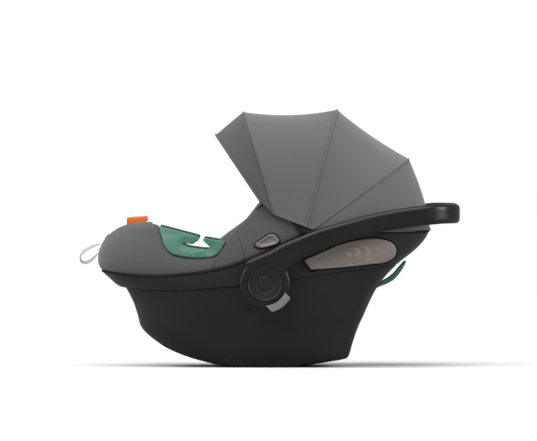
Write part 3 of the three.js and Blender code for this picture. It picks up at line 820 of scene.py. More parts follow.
@dataclass
class LowerShell(Assembly):
    """The black rocker-shaped tub, with the recess that a car base reaches into."""

    wall: float = 3.5
    recess: tuple[float, float, float, float] = (-140, 128, 70, 24)  # foot, head, half width, roof

    def build(self) -> None:
        """Makes the tub, the recess and its roof."""
        top = LOWER.level(ROUND, PARTING)
        shares = np.linspace(0, 1, 60) ** 1.5
        rings = LOWER.point(ROUND[None, :], shares[:, None] * top[None, :])
        middle = rings[0].mean(0)
        floor = [middle + (rings[0] - middle) * share for share in (0.2, 0.4, 0.6, 0.8, 0.95)]
        rings = np.concatenate([floor, rings])
        faces = grid_faces(len(rings), TURNS, True)
        points = np.vstack([rings.reshape(-1, 3), middle])
        faces += [(len(points) - 1, (i + 1) % TURNS, i) for i in range(TURNS)]
        shell = make_mesh("tub", points, faces)
        face_outwards(shell)
        finish_with(shell, "SOLIDIFY", thickness=self.wall * MM, offset=-1)
        cut(shell, self.recess_block(0.0))
        self.dress(shell, "polypropylene_shell_black", "base", "shell_black", "lower_shell", angle=30)
        roof = self.recess_block(0.4)
        with reshaping(roof) as shape:
            under = [f for f in shape.faces if f.normal.z < -0.9]
            bmesh.ops.delete(shape, geom=under, context="FACES")
        roof.name = "recess_roof"
        finish_with(roof, "SOLIDIFY", thickness=2.4 * MM, offset=1)
        heights = np.array([0.3, 1, 2, 3, 5, 7, 9, 12, 16, 20, 26, 34, 42])
        plug = loft("plug", LOWER.point(ROUND[None, ::4], heights[:, None], -0.6))
        cut(roof, plug, operation="INTERSECT")
        bevel(roof, 0.6)
        self.dress(roof, "polypropylene_shell_black", "base", "shell_black")

    def recess_block(self, grow: float) -> bpy.types.Object:
        """The room of the recess as a block, a little larger by grow."""
        foot, head, half, roof = self.recess
        low = 4.5 if grow else -8
        bpy.ops.mesh.primitive_cube_add(
            size=MM,
            location=((foot + head) / 2 * MM, 0, (low + roof) / 2 * MM),
            scale=(head - foot + 2 * grow, 2 * (half + grow), roof - low + grow),
        )
        block = bpy.context.active_object
        settle(block)
        if not grow:
            bevel(block, 8, 4)
        return block


def star_rings(outline: np.ndarray, centre: Pair, shares: Sequence[float]) -> np.ndarray:
    """An outline of the side view shrunk about a centre, once for each share."""
    middle = np.array(centre)
    return np.stack([middle + (outline - middle) * share for share in shares])


def softened(corners: Sequence[Pair], count: int, passes: int, closed: bool = True) -> np.ndarray:
    """A line of evenly spaced points with softened corners.

    Args:
        corners: The line's corners, x and z.
        count: How many points to return.
        passes: How often neighbours are averaged; more rounds the corners further.
        closed: Whether the line joins its own start.

    Returns:
        The line, one point in a row.
    """
    points = np.array([*corners, corners[0]] if closed else corners, float)
    lengths = np.concatenate([[0], np.cumsum(np.hypot(*np.diff(points, axis=0).T))])
    where = np.linspace(0, lengths[-1], count, endpoint=not closed)
    line = np.stack([np.interp(where, lengths, points[:, k]) for k in (0, 1)], -1)
    for _ in range(passes):
        if closed:
            line = (np.roll(line, 1, 0) + 2 * line + np.roll(line, -1, 0)) / 4
        else:
            line[1:-1] = (line[:-2] + 2 * line[1:-1] + line[2:]) / 4
    return line


def lengths_along(line: np.ndarray) -> np.ndarray:
    """The distance from a line's start to each of its points."""
    return np.concatenate([[0], np.cumsum(np.linalg.norm(np.diff(line, axis=0), axis=1))])


def on_side(rings: np.ndarray, hull: Hull, offsets: np.ndarray | float, side: Side) -> np.ndarray:
    """Lays rings of x and z on a hull's side, each at its own offset."""
    y = hull.half_width(rings[..., 0], rings[..., 1], offsets)
    return np.stack([rings[..., 0], side.value * y, rings[..., 1]], -1)


@dataclass
class SideProtectors(Assembly):
    """The fold-out side-impact panels, ribbed like contour lines, and the recesses they lie in."""

    top_edge: tuple[Pair, ...] = (
        (60, 204), (105, 224), (140, 239), (174, 246.8), (202, 249.5), (260, 249.5),
    )
    low_edge: tuple[Pair, ...] = (
        (60, 188), (82, 189.5), (140, 193.6), (192, 199), (202, 200.5), (260, 200.5),
    )
    centre: Pair = (200, 225)
    tip: float = 46.0  # from there to the closed end
    stands: float = 6.5  # how far the panel stands out of the shell
    rounding: float = 3.0
    grooves: int = 5
    groove_depth: float = 1.7

    def loop(self, share: float, runs: int = 70, bend: int = 60) -> np.ndarray:
        """One of the nested U lines in the side view.

        Args:
            share: Where it lies, from 0 on the spine to 1 at the panel's edge.
            runs: Points along each straight side.
            bend: Points round the closed end.

        Returns:
            Points from the hinge end along the top, round the closed end and back below.
        """
        bend_x = self.centre[0] - 55 * (1 - share)
        top, low = smooth_through(self.top_edge), smooth_through(self.low_edge)

        def side(sign: float) -> np.ndarray:
            """One long side, from the hinge to where the closed end begins."""
            hinge = 74.5 - 7 * sign * share + 1.2 * share**8
            x = hinge + (bend_x - hinge) * np.linspace(0, 1, runs) ** 0.9
            spine, half = (top(x) + low(x)) / 2, (top(x) - low(x)) / 2
            return np.stack([x, spine + sign * share * half], -1)

        angle = np.linspace(math.pi / 2, -math.pi / 2, bend)[1:-1]
        c, s = np.cos(angle), np.sin(angle)
        reach = (np.abs(c) ** 2.25 + np.abs(s) ** 2.25) ** (-1 / 2.25)
        spine, half = float(top(bend_x) + low(bend_x)) / 2, float(top(bend_x) - low(bend_x)) / 2
        out = self.tip * share**1.6 * reach * c
        curve = np.stack([bend_x + out, spine + half * share * reach * s], -1)
        return np.vstack([side(1), curve, side(-1)[::-1]])

    def recess_block(self, side: Side) -> bpy.types.Object:
        """The room that the shell leaves for the panel."""
        edge = self.loop(1)
        outline = np.vstack([edge, np.linspace(edge[-1], edge[0], 22)[1:-1]])
        along = np.roll(outline, -1, 0) - np.roll(outline, 1, 0)
        away = np.stack([-along[:, 1], along[:, 0]], -1)
        away *= np.sign(np.sum(away * (outline - self.centre), axis=1).mean())
        room = 2.4 + 2.0 * np.clip((95 - outline[:, 0]) / 10, 0, 1)  # more where the panel swings
        grown = outline + away * (room / np.linalg.norm(away, axis=1))[:, None]
        rings = star_rings(grown, self.centre, (1, 1, 1, 0.75, 0.5, 0.25, 0.05))
        offsets = np.array([25, 8, -7, -7, -7, -7, -7])[:, None]
        return loft("recess", on_side(rings, UPPER, offsets, side))

    def panel(self, side: Side) -> bpy.types.Object:
        """One panel: its flat back, rounded edge and grooved face."""
        shares = np.concatenate([[1, 1], np.linspace(1, 0, 150)])
        rings = np.array([self.loop(share) for share in shares])
        hinge = np.interp(rings[..., 1], [190, 207.8], [82, 67.5])
        half = (self.top_edge[-1][1] - self.low_edge[-1][1]) / 2
        inward = np.minimum((1 - shares)[:, None] * half * 0.8, np.abs(rings[..., 0] - hinge) + 0.4)
        depth = np.clip(inward / self.rounding, 0, 1)
        edge = self.stands - self.rounding * (1 - np.sqrt(1 - (1 - depth) ** 2))
        wave = 0.5 - 0.5 * np.cos(2 * math.pi * shares * self.grooves)
        cut_in = self.groove_depth * (1 - wave**0.9) * (shares < 0.93)
        fade = np.clip((inward - 2.5) / 2, 0, 1) * np.clip((218 - rings[..., 0]) / 24, 0, 1)
        fade *= np.clip((rings[..., 0] - 60) / 80, 0.3, 1)
        offsets = edge - cut_in[:, None] * fade
        offsets[0], offsets[1] = -4, -1
        points = on_side(rings, UPPER, offsets, side)
        count, size = points.shape[:2]
        faces = grid_faces(count, size, False)
        made = make_mesh(f"side_panel_{side.word}", points.reshape(-1, 3), faces)
        with reshaping(made) as shape:
            bmesh.ops.remove_doubles(shape, verts=shape.verts, dist=2e-6)
            bmesh.ops.dissolve_degenerate(shape, edges=shape.edges, dist=2e-6)
            rim = [edge for edge in shape.edges if edge.is_boundary]
            bmesh.ops.holes_fill(shape, edges=rim, sides=0)
            bmesh.ops.triangulate(shape, faces=[f for f in shape.faces if len(f.verts) > 4])
            bmesh.ops.recalc_face_normals(shape, faces=shape.faces)
        return made

    def build(self) -> None:
        """Makes both panels."""
        for side in Side:
            panel = self.panel(side)
            body = f"side_protector_{side.word}"
            self.dress(panel, "abs_protector_taupe", body, "protector_taupe", body, angle=50)


@dataclass
class UpperShell(Assembly):
    """The black band above the tub, a raised near-black bead that paints the shade under the cover's edge,
    and the bosses behind the handle's hubs.
    """

    protectors: SideProtectors
    wall: float = 10
    edge_round: float = 1.8
    boss_radius: float = 41
    boss_ends: Pair = (160, 197.4)  # distance from the middle plane
    gasket_radius: float = 2.4

    def build(self) -> None:
        """Makes the band, the painted shade bead and both bosses."""
        low = UPPER.level(ROUND, lambda x: PARTING(x) + 0.8)
        high = UPPER.level(ROUND, RIM)
        shares = np.linspace(0, 1, 26)
        z = low + shares[:, None] * (high - low)
        edge = np.minimum(z - low, high - z)
        close = 1 - np.clip(edge / self.edge_round, 0, 1)
        offsets = -self.edge_round * (1 - np.sqrt(1 - close**2))
        rings = UPPER.point(ROUND[None, :], z, offsets)
        band = make_mesh("band", rings.reshape(-1, 3), grid_faces(len(rings), TURNS, True))
        face_outwards(band)
        self.turn_outwards(band)
        finish_with(band, "SOLIDIFY", thickness=self.wall * MM, offset=-1)
        cut(band, *[self.protectors.recess_block(side) for side in Side])
        self.dress(band, "polypropylene_band_black", "base", "band_black", "upper_shell", angle=30)
        for side in Side:
            boss = cylinder(f"hub_boss_{side.word}", *HUB, self.boss_radius, *self.boss_ends, side)
            bevel(boss, 1.6)
            self.dress(boss, "polypropylene_band_black", "base", "band_black", angle=40)
        # A raised bead just under the cover's edge, coloured near-black: painted shade of the gap between
        # cover and band.
        shade_bead_line = UPPER.level(ROUND, lambda x: RIM(x) + 1.2, -1.2)
        gasket = tube("gasket", UPPER.point(ROUND, shade_bead_line, -1.2), self.gasket_radius, True)
        self.dress(gasket, "rubber_gasket_black", "base", "band_black", angle=60)

    @staticmethod
    def turn_outwards(band: bpy.types.Object) -> None:
        """Turns an open band's faces away from the middle of the seat."""
        face = band.data.polygons[0]
        if face.normal.dot(Vector((face.center.x, face.center.y, 0))) < 0:
            band.data.flip_normals()


@dataclass
class SeatCover(Assembly):
    """The padded cover: foot bolster, sides, wings and the lining of the seat."""

    columns: int = 420

    def build(self) -> None:
        """Makes the cover with its seams, piping and label."""
        turns = np.linspace(0, 2 * math.pi, self.columns, endpoint=False)
        rim = UPPER.level(turns, lambda x: RIM(x) + 1.5)
        top = UPPER.level(turns, COVER_TOP)
        crest_x = UPPER.point(turns, top)[:, 0]
        outer_line = [(-FAR_X, 3), (-220, 3), (-90, 2.5), (-70, 5), (-50, 8), (FAR_X, 8)]
        roll = smooth_through(outer_line)(crest_x)
        roll = np.minimum(roll, 0.7 * (top - rim))
        waist = top - roll
        lining = CAVITY.level(turns, LINING_TOP)
        inner_line = [(-FAR_X, 20), (-215, 18), (-190, 6), (-95, 6), (-70, 9), (FAR_X, 9)]
        inner_roll = smooth_through(inner_line)(crest_x)
        hem = lining - inner_roll
        outside = []
        for share in np.linspace(0, 1, 30):
            z = rim + share * (waist - rim)
            tuck = -4.5 * np.clip(1 - (z - rim) / 5, 0, 1) ** 2
            puff = 1.6 * np.sin(math.pi * np.clip(share, 0, 1)) ** 0.7
            outside.append(UPPER.point(turns, z, tuck + puff - 1.0))
        over = []
        for angle in np.linspace(0, math.pi, 22)[1:-1]:
            share = (1 - math.cos(angle)) / 2
            crest = top + (lining - top) * share
            z = crest - (roll + (inner_roll - roll) * share) * (1 - math.sin(angle))
            outer, inner = UPPER.point(turns, z, -1.0), CAVITY.point(turns, z)
            over.append(outer + (inner - outer) * share)
        inside = []
        for share in np.linspace(0, 1, 34):
            z = hem + share * (CAVITY.low - hem)
            inside.append(CAVITY.point(turns, z))
        middle = inside[-1].mean(0) - [0, 0, 1]
        floor = [middle + (inside[-1] - middle) * share for share in (0.8, 0.6, 0.4, 0.2)]
        rings = np.array([*outside, *over, *inside, *floor])
        faces = grid_faces(len(rings), self.columns, True)
        points = np.vstack([rings.reshape(-1, 3), middle])
        last = (len(rings) - 1) * self.columns
        faces += [
            (last + i, last + (i + 1) % self.columns, len(points) - 1) for i in range(self.columns)
        ]
        cover = make_mesh("padded_cover", points, faces)
        around = np.tile(turns * 230, len(rings))
        steps = np.linalg.norm(np.diff(rings, axis=0), axis=2).mean(1)
        down = np.repeat(np.concatenate([[0], np.cumsum(steps)]), self.columns)
        places = np.vstack([np.stack([around, down], -1), [0, down[-1]]])
        surface_uv(cover, places)
        with reshaping(cover) as shape:
            bmesh.ops.recalc_face_normals(shape, faces=shape.faces)
        face = cover.data.polygons[self.columns * 8]
        if face.normal.dot(Vector((face.center.x, face.center.y, 0))) < 0:
            cover.data.flip_normals()
        finish_with(cover, "SOLIDIFY", thickness=2.2 * MM, offset=-1)
        smooth_by_angle(cover, 60)
        self.dress(cover, "polyester_cover_grey", "base", "cover_grey", "seat_cover")
        self.bindings(outside[-1])
        self.label()

    def bindings(self, edge: np.ndarray) -> None:
        """The cord along each wing's edge and the cross seam, sewn beads on the cover.

        Args:
            edge: The cover's outer edge, one point for each column.
        """
        for side in Side:
            wing = edge[(edge[:, 0] > -84) & (edge[:, 0] < 60) & (edge[:, 1] * side.value > 0)]
            wing = wing[np.argsort(wing[:, 0])] + [0, side.value * 0.9, 0]
            xs = np.linspace(-62, -43, 40)
            zs = np.interp(xs, [-62, -43], [264, 207])
            seam = np.stack([xs, side.value * (UPPER.half_width(xs, zs) + 0.1), zs], -1)
            for name, line, radius in (("wing_cord", wing, 0.8), ("cross_seam", seam, 0.55)):
                bead = tube(f"{name}_{side.word}", line, radius, False, 8)
                self.dress(bead, "polyester_thread_dark", "base", "cover_grey", angle=60)

    def label(self) -> None:
        """The folded satin tag sewn into the bolster's top."""
        rings = []
        for x in np.linspace(-275, -234, 14):
            share = (x + 275) / 41
            base, top = 271 + 10 * share**0.8, 288 + 3.5 * share**0.7
            lean = 1.2 * math.sin(3 * share)
            section = [(-0.7, base), (-0.9, (base + top) / 2), (-0.6, top - 0.5), (0, top)]
            section += [(0.6, top - 0.5), (0.9, (base + top) / 2), (0.7, base)]
            rings.append([(x, y + lean * (z - base) / 14, z) for y, z in section])
        tag = loft("sewn_tag", np.array(rings))
        self.dress(tag, "satin_label_orange", "base", "tag_orange", "label_tag", angle=50)


@dataclass
class CarryHandle(Assembly):
    """The swinging carry handle: bow, inner cover, hubs, caps and release buttons."""

    depth: float = 209  # distance of the arm's middle from the middle plane
    thickness: float = 22
    bend: float = 62
    end: float = 357.5
    ring: float = 49.5  # radius of the hub
    ring_ends: Pair = (198.3, 219.2)
    cap: float = 33.6  # radius of the round cap
    cap_ends: Pair = (214.2, 220.6)
    cap_steps: tuple[Pair, ...] = (  # width and rise of each ring of the cap's face
        (1.6, 0.0), (1.2, -0.9), (14.2, 0.0), (0.5, -1.1), (2.4, 0.0), (0.5, 1.1), (5.5, 0.0),
    )
    voxel: float = 1.9
    upper: Line = field(
        default_factory=lambda: smooth_through(
            [(-46, 202), (-43, 205), (-27.7, 214), (-8, 222), (5.8, 228), (25, 239), (57.4, 253)]
            + [(104.8, 271), (144, 281.7), (183, 293), (226, 302.5), (270, 310), (304, 314)]
            + [(330, 316), (370, 316)]
        )
    )
    lower: Line = field(
        default_factory=lambda: smooth_through(
            [(-46, 198), (-20, 190), (0, 184), (25, 182), (38.6, 188.6), (45, 196.5), (57, 204.5)]
            + [(66, 210.5), (105, 228), (144, 243.5), (200, 258.6), (226, 264.3), (269.7, 271.2)]
            + [(313, 276), (339, 278), (370, 278.3)]
        )
    )

    def stations(self) -> list[tuple[float, float, float]]:
        """Places along one half of the bow: x, distance from the middle plane, turn."""
        bend_x = self.end - self.bend
        arm = [(x, self.depth, 0.0) for x in np.linspace(-44, bend_x - 3, 84)]
        corner = []
        for turn in np.linspace(0, math.pi / 2, 22):
            x = bend_x + self.bend * math.sin(turn)
            corner.append((x, self.depth - self.bend * (1 - math.cos(turn)), turn))
        bar = [(self.end, y, math.pi / 2) for y in np.linspace(self.depth - self.bend, 0, 16)[1:-1]]
        return [*arm, *corner, *bar]

    def bow(
        self, name: str, outside: float, inside: float, round_edge: float, inset: float
    ) -> bpy.types.Object:
        """The whole bow between two depths through its band.

        Args:
            name: The object's name.
            outside: Outer face, from the band's middle, outwards negative.
            inside: Inner face.
            round_edge: Radius of the outer face's edges.
            inset: How far the band's top and bottom are drawn in.

        Returns:
            The new object.
        """
        rings = []
        half = self.stations()
        whole = [(x, -y, turn, -1) for x, y, turn in half] + [
            (x, y, turn, 1) for x, y, turn in reversed(half)
        ]
        for x, y, turn, sign in whole:
            through = np.array([-math.sin(turn), -sign * math.cos(turn), 0])
            top, base = float(self.upper(x)) - inset, float(self.lower(x)) + inset
            limit = min(round_edge, (top - base) / 2.05)
            small = min(2.0, limit)
            centre = np.array([x, y, 0.0])
            section = [(base + small, inside), (base, inside - small)]
            turns = np.linspace(0, math.pi / 2, 6)
            for corner, sign_z, angles in ((base, 1, turns), (top, -1, turns[::-1])):
                for angle in angles:
                    level = corner + sign_z * (limit - limit * math.cos(angle))
                    section.append((level, outside + limit - limit * math.sin(angle)))
            section += [(top, inside - small), (top - small, inside)]
            rings.append([centre + through * t + [0, 0, z] for z, t in section])
        return loft(name, np.array(rings))

    def build(self) -> None:
        """Makes the bow with its hubs, and everything on it."""
        half = self.thickness / 2
        bow = self.bow("bow", -half, half - 6.2, 8, 0)
        for side in Side:
            hub = cylinder("hub", *HUB, self.ring, *self.ring_ends, side)
            bevel(hub, 6.5, 6)
            cut(bow, hub, operation="UNION")
        melt(bow, self.voxel, 9)
        for side in Side:
            cut(bow, cylinder("well", *HUB, self.cap + 0.8, 213.4, 240, side))
            notch = self.arc("notch", (39.4, 80), (-91, -78), (-21, -25), (203, 240), side)
            cut(bow, notch)
        self.dress(bow, "abs_handle_black", "carry_handle", "handle_black", "handle_bow", angle=40)
        liner = self.bow("inner_cover", half - 5.6, half, 1.2, 1.4)
        cut(liner, *[cylinder("round", *HUB, self.ring + 0.6, 150, 240, side) for side in Side])
        node = "handle_inner_cover"
        self.dress(liner, "abs_handle_black", "carry_handle", "handle_black", node, angle=40)
        for side in Side:
            self.hub_cap(side)
            self.release_button(side)

    def arc(
        self,
        name: str,
        radii: Pair,
        starts: Pair,
        stops: Pair,
        depths: Pair,
        side: Side,
    ) -> bpy.types.Object:
        """A curved block round the hub.

        Args:
            name: The object's name.
            radii: Inner and outer radius.
            starts: Angle at which it starts, in degrees, at the inner and the outer radius.
            stops: Angle at which it stops, at the inner and the outer radius.
            depths: Distance of its faces from the middle plane.
            side: The side that it is on.

        Returns:
            The new object.
        """
        rings = []
        hub = np.array([HUB[0], 0, HUB[1]])
        for share in np.linspace(0, 1, 40):
            ring = []
            for edge, depth in ((0, 0), (1, 0), (1, 1), (0, 1)):
                turn = math.radians(starts[edge] + (stops[edge] - starts[edge]) * share)
                along = np.array([math.cos(turn), 0, math.sin(turn)])
                ring.append(hub + along * radii[edge] + [0, side.value * depths[depth], 0])
            rings.append(ring)
        return loft(name, np.array(rings))

    def release_button(self, side: Side) -> None:
        """The grey arc that unlocks the hub."""
        name = f"release_arc_{side.word}"
        button = self.arc(name, (41.6, 56), (-89, -76), (-23, -29), (204.5, 218.4), side)
        bevel(button, 2.4, 4, 50)
        body = f"handle_release_button_{side.word}"
        self.dress(button, "abs_button_grey", body, "button_grey", body, angle=40)

    def hub_cap(self, side: Side) -> None:
        """The round cap with a plain ring let into its face."""
        cap = cylinder(f"cap_{side.word}", *HUB, self.cap, *self.cap_ends, side)
        select_only(cap)
        bpy.ops.object.mode_set(mode="EDIT")
        shape = bmesh.from_edit_mesh(cap.data)
        for face in shape.faces:
            face.select_set(face.normal.y * side.value > 0.9)
        bmesh.update_edit_mesh(cap.data)
        for thickness, depth in self.cap_steps:
            bpy.ops.mesh.inset(thickness=thickness * MM, depth=depth * MM)
        bpy.ops.object.mode_set(mode="OBJECT")
        bevel(cap, 0.35, 2)
        node = f"hub_cap_{side.word}"
        self.dress(cap, "abs_hub_cap_black", "carry_handle", "handle_black", node, angle=30)


@dataclass
class BeltGuides(Assembly):
    """The green hooks that the car's belts run through."""

    corners: tuple[Pair, ...] = (
        (-211, 274), (-208.5, 260), (-202, 239), (-194, 226), (-185, 219.5), (-166, 214.5), (-139, 212),
        (-114, 213), (-101, 216.7), (-92.5, 226), (-82, 243.5), (-105, 247.4), (-124, 250.8),
        (-126.3, 249), (-126, 245), (-117, 237.4), (-111.5, 232.5), (-112.2, 228.6), (-126, 229),
        (-154, 233), (-165.5, 238), (-166.5, 241), (-156, 240), (-146, 237.8), (-143, 240.5),
        (-137, 243.8), (-132.5, 249), (-133.5, 253.5),
    )
    rear: tuple[Pair, ...] = (
        (208, 151), (214, 154.5), (228, 159.5), (242, 167.5), (252, 178), (262, 193), (267.5, 204.4),
        (262.5, 204), (252, 192), (242, 180), (231, 171.4), (222.5, 167), (214, 160),
    )

    hook_half: float = 42  # half the rear hook's width
    slot: tuple[Pair, ...] = (
        (-160, 238), (-146, 236), (-134, 238), (-122, 238), (-114, 231), (-129, 246),
    )
    scoop: Pair = (2.4, 15)  # depth and reach of the hollow round the slot

    def plate(self, corners: Sequence[Pair], count: int) -> bpy.types.Object:
        """A flat outline of the side view, filled, 2 mm deep in y until it is stretched."""
        outline = softened(corners, count, 2)
        points = [(x, y, z) for y in (-1, 1) for x, z in outline]
        faces = grid_faces(2, count, True)
        faces += [list(range(count))[::-1], list(range(count, 2 * count))]
        return make_mesh("plate", np.array(points), faces)

    def side_guide(self, side: Side) -> bpy.types.Object:
        """A side guide: 24 mm deep, following the shell, with a scoop round its slot."""
        plate = self.plate(self.corners, 260)
        for vertex in plate.data.vertices:
            vertex.co.y = side.value * (200 if vertex.co.y * side.value > 0 else 110) * MM
        face_outwards(plate)
        slab_rows = np.linspace(205, 285, 30)
        outer = UPPER.point(ROUND[None, :], slab_rows[:, None], 2.0)
        inner = UPPER.point(ROUND[None, :], slab_rows[::-1, None], -21.0)
        rings = np.concatenate([outer, inner])
        slab = make_mesh("slab", rings.reshape(-1, 3), ring_faces(len(rings), TURNS))
        face_outwards(slab)
        cut(plate, slab, operation="INTERSECT")
        plate.name = f"lap_belt_guide_{side.word}"
        melt(plate, 1.3, 5)
        slot = np.array(self.slot)
        for vertex in plate.data.vertices:
            x, z = vertex.co.x / MM, vertex.co.z / MM
            near = float(np.min(np.hypot(slot[:, 0] - x, slot[:, 1] - z)))
            scoop = self.scoop[0] * max(0.0, 1 - (near / self.scoop[1]) ** 2)
            outside = abs(vertex.co.y) / MM - float(UPPER.half_width(x, z, 0))
            if outside > -6:
                vertex.co.y -= side.value * scoop * MM
        return plate

    def build(self) -> None:
        """Makes both side guides and the rear hook."""
        for side in Side:
            guide = self.side_guide(side)
            self.dress(guide, "abs_guide_green", "base", "guide_green", f"belt_guide_{side.word}")
        hook = self.plate(self.rear, 160)
        for vertex in hook.data.vertices:
            vertex.co.y = math.copysign(self.hook_half * MM, vertex.co.y)
        face_outwards(hook)
        hook.name = "shoulder_belt_guide"
        melt(hook, 1.2, 5)
        self.dress(hook, "abs_guide_green", "base", "guide_green", "rear_belt_guide")


@dataclass
class StrollerButtons(Assembly):
    """The small dished push buttons that free the seat from a pushchair frame."""

    corners: tuple[Pair, ...] = (
        (-27, 238.5), (-24, 233), (-14, 230.5), (9, 236), (19, 240), (22, 246), (11.5, 258), (2, 258.5),
    )
    centre: Pair = (0, 244)
    frame: float = 1.3  # radius of the near-black ring of painted shade round the button

    def build(self) -> None:
        """Makes both buttons, each with a near-black ring of painted shade round it."""
        outline = softened(self.corners, 120, 14)
        shares = np.linspace(1, 0.02, 44)
        depth = 1 - shares
        rim = 1.2 + 2.6 * np.minimum(1, depth / 0.14) ** 0.5
        face = rim - 3.2 * np.sin(math.pi / 2 * np.clip((depth - 0.2) / 0.55, 0, 1)) ** 1.3
        for side in Side:
            rings = star_rings(outline, self.centre, [0.5, 1, 1, *shares])
            offsets = np.array([-4, -4, 0, *face])[:, None]
            word = side.word
            button = loft(f"push_button_{word}", on_side(rings, UPPER, offsets, side))
            body = f"stroller_release_button_{word}"
            self.dress(button, "abs_button_grey", body, "button_grey", body, angle=55)
            # A near-black tube round the button: painted shade of the gap that the button sits in.
            away = outline - self.centre
            frame_line = outline + away * (self.frame / np.linalg.norm(away, axis=1))[:, None]
            path = on_side(frame_line, UPPER, 1.0, side)
            surround = tube(f"button_surround_{word}", path, self.frame, True, 8)
            self.dress(surround, "rubber_gasket_black", "base", "band_black", angle=60)


@dataclass(frozen=True)
class Arch:
    """One bow of the canopy: where it starts on the sides and where its crown is."""

    base: Pair
    crown: Pair
    half: float = 195.0
    power: float = 3.4

    def points(self, turns: np.ndarray, out: float = 0.0) -> np.ndarray:
        """Points from the near side over the crown to the far side.

        Args:
            turns: Angles from 0 to pi.
            out: How far outside the arch.

        Returns:
            One point for each angle.
        """
        c, s = np.cos(turns), np.sin(turns)
        share = (np.abs(c) ** self.power + np.abs(s) ** self.power) ** (-1 / self.power)
        base, crown = np.array(self.base), np.array(self.crown)
        length = np.linalg.norm(crown - base)
        place = base + (crown - base) * (s * share * (1 + out / length))[:, None]
        return np.stack([place[:, 0], -(self.half + out) * c * share, place[:, 1]], -1)


def from_pivot(angle: float, radius: float) -> Pair:
    """A place in the side view at an angle and distance from the canopy's pivot."""
    turn = math.radians(angle)
    return PIVOT[0] + radius * math.cos(turn), PIVOT[1] + radius * math.sin(turn)


